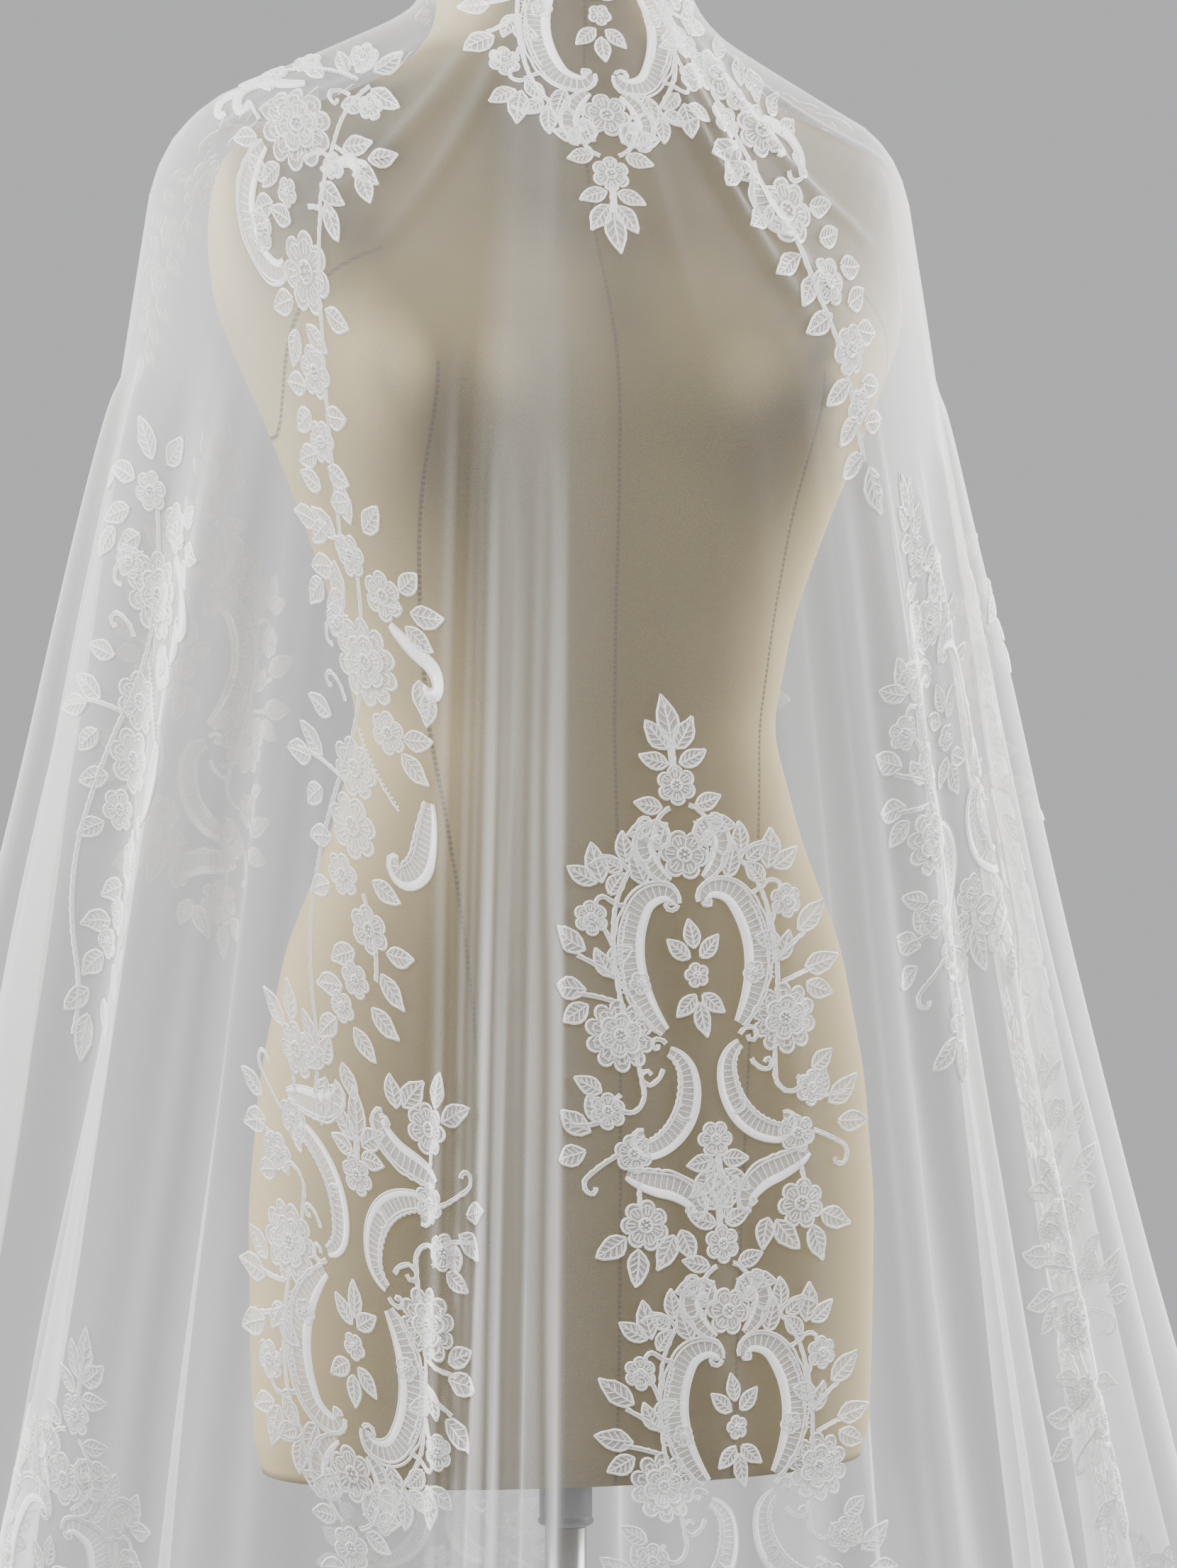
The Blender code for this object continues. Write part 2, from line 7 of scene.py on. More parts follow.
import bpy
import numpy as np
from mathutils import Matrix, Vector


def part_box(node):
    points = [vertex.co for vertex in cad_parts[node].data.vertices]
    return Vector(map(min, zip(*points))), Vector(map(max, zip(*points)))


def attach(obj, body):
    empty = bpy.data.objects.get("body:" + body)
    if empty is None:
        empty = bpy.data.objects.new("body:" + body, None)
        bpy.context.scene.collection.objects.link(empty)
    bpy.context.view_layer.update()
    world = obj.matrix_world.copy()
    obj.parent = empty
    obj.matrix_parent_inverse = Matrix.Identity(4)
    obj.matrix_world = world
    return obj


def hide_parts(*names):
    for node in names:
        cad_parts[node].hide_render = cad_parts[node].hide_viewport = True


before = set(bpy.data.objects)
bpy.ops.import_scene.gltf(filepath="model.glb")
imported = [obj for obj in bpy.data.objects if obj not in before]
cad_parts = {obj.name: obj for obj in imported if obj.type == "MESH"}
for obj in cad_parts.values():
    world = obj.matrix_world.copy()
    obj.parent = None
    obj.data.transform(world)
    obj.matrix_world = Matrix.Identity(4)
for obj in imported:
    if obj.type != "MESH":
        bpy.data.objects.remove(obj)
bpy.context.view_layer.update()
home = bpy.context.scene.collection

# The close-up is taken level with the waist from 2.5 m, a little to the form's left. The room is a
# plain grey, with a large soft light on either side and a weak one overhead, so the folds are bright
# and the middle of the form stays in soft shade. The form's bright edges and dark middle come partly from
# these lights and partly from painted light and shade in its cover's colour.
CAMERA_TURN = math.radians(-17.0)
CAMERA_FAR = 2.5
CAMERA_HEIGHT = 1.10
CAMERA_ASIDE = 0.0125
CAMERA_LENS = 104.3
BACKDROP_GREY = (0.522, 0.522, 0.535, 1.0)
LIT_POINT = (0.0, 0.0, 1.1)
SOFT_LIGHTS = (
    # name, place, size, power
    ("light_left", (-2.3, 0.15, 1.80), 1.5, 112.0),
    ("light_right", (2.3, -0.25, 1.60), 1.5, 160.0),
    ("light_top", (-0.5, -1.0, 2.9), 1.0, 50.0),
)

camera = bpy.data.objects.new("camera", bpy.data.cameras.new("camera"))
camera.data.lens = CAMERA_LENS
camera.location = (
    CAMERA_FAR * math.sin(CAMERA_TURN) + CAMERA_ASIDE * math.cos(CAMERA_TURN),
    -CAMERA_FAR * math.cos(CAMERA_TURN) + CAMERA_ASIDE * math.sin(CAMERA_TURN),
    CAMERA_HEIGHT,
)
camera.rotation_euler = (math.pi / 2, 0.0, CAMERA_TURN)
home.objects.link(camera)
bpy.context.scene.camera = camera

room = bpy.data.worlds.new("room")
room.use_nodes = True
room.node_tree.nodes["Background"].inputs["Color"].default_value = BACKDROP_GREY
bpy.context.scene.world = room

for light_name, light_place, light_size, light_power in SOFT_LIGHTS:
    lamp = bpy.data.objects.new(light_name, bpy.data.lights.new(light_name, "AREA"))
    lamp.data.size = light_size
    lamp.data.energy = light_power
    lamp.location = light_place
    aim = np.array(LIT_POINT) - np.array(light_place)
    lamp.rotation_euler = (
        math.acos(-aim[2] / np.linalg.norm(aim)),
        0.0,
        math.atan2(aim[1], aim[0]) - math.pi / 2,
    )
    home.objects.link(lamp)


# The floor is a round sheet of pale studio board under the foot plate. It is matt, with a faint
# mottle, and no part of the object.
FLOOR_RADIUS = 3.6
FLOOR_THICKNESS = 0.02
FLOOR_DARKER = (0.40, 0.40, 0.41, 1.0)
FLOOR_LIGHTER = (0.44, 0.44, 0.45, 1.0)
MOTTLE_SCALE = 9.0
ROUND_SIDES = 96


class Wire:
    """A value in a material. Arithmetic on it adds the Math node that does the same."""

    def __init__(self, tree, socket):
        self.tree = tree
        self.socket = socket

    def maths(self, operation, *values):
        """The Math node of that operation on these numbers and wires."""
        node = self.tree.nodes.new("ShaderNodeMath")
        node.operation = operation
        for value, socket in zip(values, node.inputs):
            if isinstance(value, Wire):
                self.tree.links.new(value.socket, socket)
            else:
                socket.default_value = value
        return Wire(self.tree, node.outputs[0])

    def __add__(self, other):
        return self.maths("ADD", self, other)

    def __sub__(self, other):
        return self.maths("SUBTRACT", self, other)

    def __mul__(self, other):
        return self.maths("MULTIPLY", self, other)

    def __truediv__(self, other):
        return self.maths("DIVIDE", self, other)

    def __pow__(self, other):
        return self.maths("POWER", self, other)

    def __rsub__(self, other):
        return self.maths("SUBTRACT", other, self)

    def __rtruediv__(self, other):
        return self.maths("DIVIDE", other, self)

    __radd__ = __add__
    __rmul__ = __mul__

    def sine(self):
        return self.maths("SINE", self)

    def exponential(self):
        return self.maths("EXPONENT", self)

    def size(self):
        return self.maths("ABSOLUTE", self)

    def most(self, other):
        return self.maths("MAXIMUM", self, other)

    def least(self, other):
        return self.maths("MINIMUM", self, other)

    def step(self, low, high):
        """0 at low and before it, 1 at high and past it, straight between; low may be the larger."""
        return ((self - low) / (high - low)).most(0.0).least(1.0)


class Finish:
    """A material with a Principled BSDF, to which nodes are added one call at a time."""

    def __init__(self, name, **sockets):
        self.made = bpy.data.materials.new(name)
        self.made.use_nodes = True
        self.tree = self.made.node_tree
        self.shader = self.tree.nodes["Principled BSDF"]
        for socket, value in sockets.items():
            self.shader.inputs[socket.replace("_", " ")].default_value = value

    def node(self, kind, settings=None, sockets=None, output=0):
        """Any node: its settings first, then its sockets, each a value or a wire."""
        node = self.tree.nodes.new(kind)
        for setting, value in (settings or {}).items():
            setattr(node, setting, value)
        for socket, value in (sockets or {}).items():
            if isinstance(value, Wire):
                self.tree.links.new(value.socket, node.inputs[socket])
            else:
                node.inputs[socket].default_value = value
        return Wire(self.tree, node.outputs[output])

    def feed(self, **wires):
        """Links wires to the shader's own sockets."""
        for socket, wire in wires.items():
            self.tree.links.new(wire.socket, self.shader.inputs[socket.replace("_", " ")])

    def place(self, scale=(1.0, 1.0, 1.0), source="Object"):
        """Coordinates of the piece in metres, or its UV map, stretched by a scale."""
        found = self.node("ShaderNodeTexCoord", output=source)
        return self.node("ShaderNodeMapping", None, {"Vector": found, "Scale": scale})

    def coordinate(self, vector, axis):
        """One of a vector's three numbers: X, Y or Z."""
        return self.node("ShaderNodeSeparateXYZ", None, {"Vector": vector}, axis)

    def noise(self, where, scale, detail=3.0, roughness=0.5):
        """Even random patches from 0 to 1."""
        sockets = {"Vector": where, "Scale": scale, "Detail": detail, "Roughness": roughness}
        return self.node("ShaderNodeTexNoise", None, sockets)

    def mix(self, share, first, second):
        """One colour changing to another with a share from 0 to 1. A Mix node's colours are its
        sockets 6 and 7 and its output 2."""
        sockets = {0: share, 6: first, 7: second}
        return self.node("ShaderNodeMix", {"data_type": "RGBA"}, sockets, 2)

    def bump(self, height, strength, distance):
        """A surface raised by a height from 0 to 1."""
        sockets = {"Height": height, "Strength": strength, "Distance": distance}
        return self.node("ShaderNodeBump", None, sockets)


def mesh_piece(name, points, faces, materials, face_materials=None, uv=None):
    """A smooth piece from whole arrays: points, faces of four corners (a corner given twice in a
    row closes to three), and, when given, a material for each face and a UV for each point."""
    mesh = bpy.data.meshes.new(name)
    faces = np.asarray(faces, dtype=np.int64)
    three = faces[:, 2] == faces[:, 3]
    counts = np.where(three, 3, 4)
    keep = np.ones(faces.shape, dtype=bool)
    keep[:, 3] = ~three
    corners = faces[keep].astype(np.int32)
    mesh.vertices.add(len(points))
    mesh.vertices.foreach_set("co", np.asarray(points, dtype=np.float32).ravel())
    mesh.loops.add(len(corners))
    mesh.loops.foreach_set("vertex_index", corners)
    mesh.polygons.add(len(faces))
    starts = np.concatenate([[0], np.cumsum(counts)[:-1]]).astype(np.int32)
    mesh.polygons.foreach_set("loop_start", starts)
    mesh.polygons.foreach_set("use_smooth", np.ones(len(faces), dtype=bool))
    for material in materials:
        mesh.materials.append(material)
    if face_materials is not None:
        mesh.polygons.foreach_set("material_index", np.asarray(face_materials, dtype=np.int32))
    if uv is not None:
        layer = mesh.uv_layers.new(name="cloth")
        layer.data.foreach_set("uv", np.asarray(uv, dtype=np.float32)[corners].ravel())
    mesh.update(calc_edges=True)
    mesh.validate()
    made = bpy.data.objects.new(name, mesh)
    home.objects.link(made)
    return made


def grid_faces(rows, columns, closed=False):
    """Faces of a grid of points, row after row, joined round at the ends if it is closed."""
    row = np.arange(rows - 1)[:, None]
    column = np.arange(columns if closed else columns - 1)[None, :]
    after = (column + 1) % columns
    corners = (row * columns + column, row * columns + after)
    above = ((row + 1) * columns + after, (row + 1) * columns + column)
    return np.stack([*corners, *above], axis=-1).reshape(-1, 4)


def capped(low, rings, high):
    """Points and faces of a closed shape from below: a middle point, rings of points joined one to
    the next, and a last middle point, with a fan of triangles at either end."""
    count, sides = rings.shape[:2]
    points = np.concatenate([[low], rings.reshape(-1, 3), [high]])
    around = np.arange(sides)
    after = (around + 1) % sides
    start = 1 + (count - 1) * sides
    top = np.full(sides, len(points) - 1)
    under = np.stack([np.zeros_like(around), 1 + after, 1 + around, 1 + around], axis=1)
    over = np.stack([start + around, start + after, top, top], axis=1)
    return points, np.concatenate([under, grid_faces(count, sides, closed=True) + 1, over])


def turned(profile, sides):
    """A shape turned on the axis: each (radius, height) of the profile, taken from below up the
    outside, becomes a ring x = r sin t, y = -r cos t. The profile starts and ends at radius 0."""
    turn = np.linspace(0.0, 2 * math.pi, sides, endpoint=False)
    radius, height = np.array(profile, dtype=float).T
    rings = np.stack(
        [
            radius[:, None] * np.sin(turn),
            -radius[:, None] * np.cos(turn),
            np.repeat(height[:, None], sides, axis=1),
        ],
        axis=-1,
    )
    return capped(rings[0, 0], rings[1:-1], rings[-1, 0])


board = Finish("studio_board", Roughness=0.9)
board_spots = board.noise(board.place(), MOTTLE_SCALE)
board.feed(Base_Color=board.mix(board_spots, FLOOR_DARKER, FLOOR_LIGHTER))
floor_edge = [(0.0, -FLOOR_THICKNESS), (FLOOR_RADIUS, -FLOOR_THICKNESS), (FLOOR_RADIUS, 0.0), (0.0, 0.0)]
floor_points, floor_faces = turned(floor_edge, ROUND_SIDES)
floor = mesh_piece("floor", floor_points, floor_faces, [board.made])


# The stand: a round steel foot plate, a steel tube and the dark collar that takes the form. The
# plate is turned with an eased rim, the tube is drawn and brushed along its length, and the
# collar is moulded, with a rolled lip at its foot and a thumb groove near its top.
foot_low, foot_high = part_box("foot_plate")
pole_low, pole_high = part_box("pole")
collar_low, collar_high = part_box("collar")
FOOT_RADIUS = foot_high[0]
POLE_RADIUS = pole_high[0]
COLLAR_RADIUS = collar_high[0]
EDGE_STEPS = 5
CHAMFER = 0.001
TUBE_SIDES = 64


def eased(radius, height, ease, start, end):
    """A quarter-round of a profile's corner, from one angle to the other."""
    angles = np.radians(np.linspace(start, end, EDGE_STEPS))
    return [(radius + ease * math.cos(a), height + ease * math.sin(a)) for a in angles]


def steel_finish(name, colour, roughness, across):
    """Steel with fine marks drawn out along the way it was brushed."""
    steel = Finish(name, Base_Color=colour, Roughness=roughness, Metallic=1.0)
    marks = steel.noise(steel.place(across), 1.0, 4.0, 0.6)
    clouds = steel.noise(steel.place(), 14.0, 3.0)
    darker = tuple(0.72 * c for c in colour[:3]) + (1.0,)
    steel.feed(
        Base_Color=steel.mix(marks * 0.6 + clouds * 0.4, darker, colour),
        Roughness=marks * 0.16 + clouds * 0.10 + (roughness - 0.13),
        Normal=steel.bump(marks, 0.25, 0.0004),
    )
    return steel.made


FOOT_EDGE = 0.004
FOOT_FLAT = 0.018
FOOT_COLOUR = (0.47, 0.47, 0.46, 1.0)
POLE_COLOUR = (0.40, 0.40, 0.39, 1.0)
GROUND_MARKS = (60.0, 60.0, 60.0)
DRAWN_MARKS = (900.0, 900.0, 6.0)

foot_profile = [(0.0, foot_low[2]), (FOOT_RADIUS - CHAMFER, foot_low[2])]
foot_profile += [(FOOT_RADIUS, foot_low[2] + CHAMFER)]
foot_profile += eased(FOOT_RADIUS - FOOT_EDGE, foot_high[2] - FOOT_EDGE, FOOT_EDGE, 0, 90)
foot_profile += [(POLE_RADIUS + FOOT_FLAT, foot_high[2]), (0.0, foot_high[2])]
foot_points, foot_faces = turned(foot_profile, ROUND_SIDES)
foot_steel = steel_finish("foot_steel", FOOT_COLOUR, 0.38, GROUND_MARKS)
foot_plate = mesh_piece("foot_plate_turned", foot_points, foot_faces, [foot_steel])
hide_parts("foot_plate")
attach(foot_plate, "root")

pole_profile = [(0.0, pole_low[2]), (POLE_RADIUS, pole_low[2]), (POLE_RADIUS, pole_high[2] - CHAMFER)]
pole_profile += [(POLE_RADIUS - CHAMFER, pole_high[2]), (0.0, pole_high[2])]
pole_points, pole_faces = turned(pole_profile, TUBE_SIDES)
pole_steel = steel_finish("pole_steel", POLE_COLOUR, 0.30, DRAWN_MARKS)
pole = mesh_piece("pole_tube", pole_points, pole_faces, [pole_steel])
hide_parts("pole")
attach(pole, "root")

COLLAR_LIP = 0.0022
LIP_HEIGHT = 0.006
COLLAR_SIDE = COLLAR_RADIUS - 0.0009
COLLAR_RIM = 0.0005
GROOVE_DEPTH = 0.0012
GROOVE_HALF = 0.002
GROOVE_HEIGHT = collar_high[2] - 0.010
COLLAR_DARK = (0.085, 0.087, 0.09, 1.0)
COLLAR_WORN = (0.15, 0.15, 0.15, 1.0)

collar_profile = [(0.0, collar_low[2])]
collar_profile += eased(COLLAR_RADIUS - COLLAR_LIP, collar_low[2] + COLLAR_LIP, COLLAR_LIP, -90, 60)
collar_profile += [(COLLAR_SIDE, collar_low[2] + LIP_HEIGHT)]
collar_profile += [(COLLAR_SIDE, GROOVE_HEIGHT - GROOVE_HALF)]
collar_profile += [(COLLAR_SIDE - GROOVE_DEPTH, GROOVE_HEIGHT)]
collar_profile += [(COLLAR_SIDE, GROOVE_HEIGHT + GROOVE_HALF)]
collar_profile += [(COLLAR_SIDE + COLLAR_RIM, collar_high[2] - CHAMFER)]
collar_profile += [(COLLAR_SIDE - COLLAR_RIM, collar_high[2]), (0.0, collar_high[2])]
collar_points, collar_faces = turned(collar_profile, TUBE_SIDES)
moulding = Finish("moulded_collar", Base_Color=(0.10, 0.10, 0.10, 1.0), Roughness=0.45)
moulding_grain = moulding.noise(moulding.place(), 700.0, 2.0)
moulding_wear = moulding.noise(moulding.place((1.0, 1.0, 0.3)), 60.0)
moulding.feed(
    Base_Color=moulding.mix(moulding_wear, COLLAR_DARK, COLLAR_WORN),
    Roughness=moulding_wear * 0.2 + 0.35,
    Normal=moulding.bump(moulding_grain, 0.3, 0.0003),
)
collar = mesh_piece("collar_moulded", collar_points, collar_faces, [moulding.made])
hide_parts("collar")
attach(collar, "root")


# The form: a padded torso under a tight cotton cover. The cover is cut in panels, with a seam down
# the front and back, a curved seam over each bust point and blade, and one round each armhole,
# sewn with small stitches that show as a fine broken line.
NECK_CENTRE = (0.0, 0.025)
ARM_PLANES = (-0.197, 0.184)
BUST_POINT = (0.105, 1.318)
BUST_RISE = 0.040
BUST_SPREAD = (0.046, 0.052)
BUST_FADE = 6.0
NECK_ROUND_ABOVE = 1.5
NECK_BLEND = 0.012
FORM_SECTIONS = (
    # height, half width, depth in front, depth behind, squareness
    (0.727, 0.166, 0.088, 0.104, 2.1),
    (0.733, 0.173, 0.094, 0.110, 2.1),
    (0.790, 0.175, 0.098, 0.118, 2.1),
    (0.870, 0.176, 0.100, 0.122, 2.1),
    (0.940, 0.170, 0.100, 0.116, 2.1),
    (1.010, 0.156, 0.098, 0.100, 2.1),
    (1.070, 0.132, 0.095, 0.086, 2.1),
    (1.130, 0.1155, 0.090, 0.078, 2.1),
    (1.190, 0.127, 0.092, 0.084, 2.2),
    (1.250, 0.148, 0.098, 0.092, 2.3),
    (1.300, 0.168, 0.100, 0.099, 2.4),
    (1.330, 0.182, 0.095, 0.101, 2.5),
    (1.360, 0.194, 0.080, 0.102, 2.6),
    (1.395, 0.198, 0.056, 0.100, 2.7),
    (1.425, 0.196, 0.043, 0.090, 2.6),
    (1.448, 0.186, 0.036, 0.076, 2.4),
    (1.466, 0.150, 0.034, 0.070, 2.2),
    (1.484, 0.100, 0.034, 0.074, 2.1),
    (1.515, 0.066, 0.036, 0.086, 2.0),
    (1.585, 0.0625, 0.037, 0.086, 2.0),
)
FORM_ROWS = 170
FORM_COLUMNS = 150
FORM_EASE = 0.011
END_RINGS = (0.5, 0.9, 0.97)


def form_surface(angles, heights):
    """Points of the torso at angles round it and heights: a squared ellipse whose width and depths
    are the table's, averaged over a few heights, with the bust raised from its front by
    rise · exp(-(height off)²) · exp(-(side off)²), and cut off flat at the armholes."""
    table = np.array(FORM_SECTIONS)
    shifts = np.linspace(-FORM_EASE, FORM_EASE, 5)
    low, high = table[0, 0], table[-1, 0]
    values = [
        sum(np.interp(np.clip(heights + s, low, high), table[:, 0], table[:, k]) for s in shifts)
        / len(shifts)
        for k in (1, 2, 3, 4)
    ]
    half, front, back, square = (v[:, None] for v in values)
    across, ahead = np.sin(angles)[None, :], np.cos(angles)[None, :]
    x = half * np.sign(across) * np.abs(across) ** (2.0 / square)
    depth = np.where(ahead > 0, front, back)
    y = -depth * np.sign(ahead) * np.abs(ahead) ** (2.0 / square)
    z = np.repeat(heights[:, None], len(angles), axis=1)
    side = (np.abs(x) - BUST_POINT[0]) / BUST_SPREAD[0]
    rise = (z - BUST_POINT[1]) / BUST_SPREAD[1]
    bust = BUST_RISE * np.exp(-rise * rise) * np.exp(-side * side)
    y = y - bust * np.clip(ahead * BUST_FADE, 0.0, 1.0)
    necked = np.clip((z - NECK_ROUND_ABOVE) / NECK_BLEND + 0.5, 0.0, 1.0)
    y = y * (1 - necked) + necked * ((back - front) / 2 - (back + front) / 2 * np.cos(angles)[None, :])
    x = np.clip(x, *ARM_PLANES)
    return np.stack([x, y, z], axis=-1)


def form_mesh():
    """Rows of the torso from its flat underside to the top of its neck, closed at both ends."""
    table = np.array(FORM_SECTIONS)
    heights = np.linspace(table[0, 0], table[-1, 0], FORM_ROWS)
    angles = np.linspace(0.0, 2 * math.pi, FORM_COLUMNS, endpoint=False)
    rows = form_surface(angles, heights)
    low = rows[0].mean(axis=0)
    high = rows[-1].mean(axis=0)
    under = [low + (rows[0] - low) * share for share in END_RINGS]
    over = [high + (rows[-1] - high) * share for share in reversed(END_RINGS)]
    return capped(low, np.concatenate([under, rows, over]), high)


SEAM_HALF = 0.0008
SEAM_FADE = (1.6, 0.8)
ARM_SEAM_FADE = (1.8, 0.9)
STITCH_LENGTH = 0.0030
WARP_PITCH = 0.0011
WEFT_PITCH = 0.0010
PANEL_SEAM_OUT = 0.066
PANEL_SEAM_BOW = 0.040
PANEL_SEAM_REACH = 0.30
ARMHOLE_MIDDLE = (0.010, 1.385)
ARMHOLE_HALF = (0.074, 0.098)
ARMHOLE_RADIUS = 0.08
ARMHOLE_FROM = 0.120
SEAM_ENDS_OVER = 0.002
SLUBS_ACROSS = (90.0, 90.0, 700.0)
SLUBS_UP = (700.0, 700.0, 60.0)
# The cover's colours: two dark tones for the front and back, which are painted shade with random patches
# between them, a lighter cream for the sides, which is painted light, and the seam thread.
COVER_SHADED_LIGHTER = (0.168, 0.129, 0.050, 1.0)
COVER_SHADED_DARKER = (0.138, 0.104, 0.038, 1.0)
COVER_PAINTED_SIDE_LIGHT = (0.56, 0.465, 0.255, 1.0)
COVER_THREAD = (0.075, 0.060, 0.034, 1.0)


def cover_finish():
    """Cream cotton: a plain weave as two crossed waves a thread apart, uneven threads and faint
    soil, and seams where the place across the panels meets a seam's own line. The colour holds
    painted shade, darker down the front and back, and painted light, a lighter cream where it faces the
    sides."""
    cover = Finish("form_cover_cotton", Roughness=0.9, Specular_IOR_Level=0.15)
    spot = cover.place()
    x, y, z = (cover.coordinate(spot, axis) for axis in "XYZ")
    warp = ((x + y * 0.35) * (2 * math.pi / WARP_PITCH)).sine()
    weft = (z * (2 * math.pi / WEFT_PITCH)).sine()
    weave = (warp * weft) * 0.5 + 0.5
    slub = cover.noise(cover.place(SLUBS_ACROSS), 1.0, 2.0)
    slub_up = cover.noise(cover.place(SLUBS_UP), 1.0, 2.0)
    soil = cover.noise(spot, 6.0, 4.0)
    ahead = y.step(0.0, -0.0025)
    reach = x.size()
    rise = (z - BUST_POINT[1]) / PANEL_SEAM_REACH
    bow = (rise * rise * -1.0).exponential()
    off_panel = (reach - (bow * PANEL_SEAM_BOW + PANEL_SEAM_OUT)).size()
    arm_y = (y - ARMHOLE_MIDDLE[0]) / ARMHOLE_HALF[0]
    arm_z = (z - ARMHOLE_MIDDLE[1]) / ARMHOLE_HALF[1]
    off_armhole = (((arm_y * arm_y + arm_z * arm_z) ** 0.5 - 1.0) * ARMHOLE_RADIUS).size()
    at_side = reach.step(ARMHOLE_FROM, ARMHOLE_FROM + SEAM_ENDS_OVER)
    over_bust = z.step(BUST_POINT[1], BUST_POINT[1] + SEAM_ENDS_OVER)
    front_seam = (reach / SEAM_HALF).step(*SEAM_FADE)
    panel_seam = (off_panel / SEAM_HALF).step(*SEAM_FADE) * (1.0 - over_bust * ahead)
    arm_seam = (off_armhole / SEAM_HALF).step(*ARM_SEAM_FADE) * at_side
    stitch = ((z * (2 * math.pi / STITCH_LENGTH)).sine() * 2.0 + 1.2).step(0.0, 1.0)
    seam = front_seam.most(panel_seam).most(arm_seam)
    thread = seam * (stitch * 0.6 + 0.4)
    threads = slub * 0.3 + slub_up * 0.2
    cloth = cover.mix(soil * 0.5 + threads, COVER_SHADED_DARKER, COVER_SHADED_LIGHTER)
    # Painted light: the colour turns a lighter cream where the surface faces the sides, and a little lighter
    # where it faces back.
    outward = cover.node("ShaderNodeTexCoord", output="Normal")
    painted_side_light = cover.coordinate(outward, "X").size().step(0.30, 1.0) ** 1.4
    behind = cover.coordinate(outward, "Y").step(0.0, 0.8) * 0.3
    cloth = cover.mix(painted_side_light.most(behind), cloth, COVER_PAINTED_SIDE_LIGHT)
    cover.feed(
        Base_Color=cover.mix(thread * 0.8, cloth, COVER_THREAD),
        Normal=cover.bump(weave * 0.5 + threads - seam * 0.9, 0.35, 0.0006),
    )
    return cover.made


cover_cloth = cover_finish()
form_points, form_faces = form_mesh()
torso = mesh_piece("torso_covered", form_points, form_faces, [cover_cloth])
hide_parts("torso", "left_arm_plate", "right_arm_plate")
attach(torso, "root")
for plate_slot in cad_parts["neck_cap"].material_slots:
    plate_slot.material = cover_cloth


# The veil: one sheet of soft nylon tulle, cut as two thirds of a circle with an oval hem and closed
# by one fine seam down the back. It lies over the neck, is drawn taut over bust and shoulders, and
# falls in deep folds at the sides that the hem lets swing freely.
CLOTH_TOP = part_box("veil_crown")[1][2]
CROWN_FLAT = 0.0612
CROWN_RINGS = (0.25, 0.5, 0.72, 0.88, 1.0)
CROWN_BEND = (0.0645, 0.0012)
SWING_RISE = 0.45
ROUNDING = 9.0
COLUMNS_A_FOLD = 20
ROWS_ON_NECK = 8
ROWS_ON_SHOULDERS = 44
ROWS_BELOW = 150
CLOTH_STAND_OFF = 0.0045
RIM_ROW = 0.10
FREE_BELOW = 0.25
LUMPS = (
    # knots down, knots round, seed, height
    (9, 26, 11, 0.0030),
    (14, 64, 12, 0.0016),
)
RIPPLE_PHASES = (2.4, 2.2)
RIPPLE_FADE = 6
FINE_STEPS = 4
BEND_EASE = (0.16, 0.026)
BEND_SHIFTS = (-1.0, -0.5, 0.0, 0.5, 1.0)
RIM_LINE = (
    # angle, radius from the neck's middle, height
    (-180, 0.068, 1.584),
    (180, 0.068, 1.584),
)
NECK_LINE = (
    # angle, radius from the neck's middle, height
    (-180, 0.070, 1.526),
    (-90, 0.070, 1.528),
    (-50, 0.075, 1.530),
    (0, 0.083, 1.531),
    (50, 0.075, 1.530),
    (90, 0.070, 1.528),
    (180, 0.070, 1.526),
)
SUPPORT_LINE = (
    # angle, radius, height of the line over bust, shoulders and blades
    (-180, 0.118, 1.390),
    (-140, 0.172, 1.398),
    (-122, 0.208, 1.420),
    (-106, 0.224, 1.444),
    (-92, 0.214, 1.462),
    (-80, 0.204, 1.462),
    (-62, 0.184, 1.392),
    (-40, 0.177, 1.330),
    (-28, 0.160, 1.326),
    (0, 0.140, 1.326),
    (28, 0.158, 1.326),
    (40, 0.174, 1.330),
    (58, 0.172, 1.385),
    (74, 0.178, 1.438),
    (90, 0.191, 1.464),
    (104, 0.188, 1.458),
    (122, 0.170, 1.430),
    (140, 0.148, 1.395),
    (180, 0.118, 1.390),
)
HEM_LINE = (
    # angle, radius, height of the hem's inner line
    (-180, 0.370, 0.030),
    (-150, 0.390, 0.055),
    (-120, 0.405, 0.200),
    (-90, 0.380, 0.380),
    (-60, 0.370, 0.200),
    (-30, 0.360, 0.055),
    (0, 0.350, 0.030),
    (30, 0.360, 0.055),
    (60, 0.352, 0.200),
    (90, 0.368, 0.380),
    (120, 0.395, 0.200),
    (150, 0.390, 0.055),
    (180, 0.370, 0.030),
)
FOLDS = (
    # angle of the fold's right edge at the support line, the same at the hem, row where it
    # starts, swing in degrees at the hem, its small ripple's swing, ripples across it
    (-16, -18, 2.45, 46, 10, 3),
    (11, 5, 2.45, 46, 8, 2),
    (38, 28, 2.04, 74, 20, 3),
    (49, 43, 2.10, 92, 26, 3),
    (62, 59, 2.12, 102, 24, 2),
    (75, 76, 2.12, 106, 22, 3),
    (88, 93, 2.08, 108, 26, 2),
    (102, 110, 2.04, 110, 20, 3),
    (118, 128, 2.04, 104, 24, 3),
    (135, 146, 2.04, 90, 22, 2),
    (158, 164, 2.50, 50, 16, 3),
    (180, 180, 2.50, 50, 14, 2),
    (202, 196, 2.04, 88, 20, 3),
    (222, 214, 2.04, 106, 26, 3),
    (238, 231, 2.10, 108, 22, 2),
    (253, 248, 2.12, 108, 24, 3),
    (268, 265, 2.12, 106, 26, 2),
    (283, 282, 2.10, 92, 24, 3),
    (299, 298, 2.40, 50, 14, 3),
    (322, 324, 2.40, 46, 12, 2),
    (330, 331, 2.04, 106, 12, 2),
    (336.5, 337, 2.04, 106, 14, 2),
)
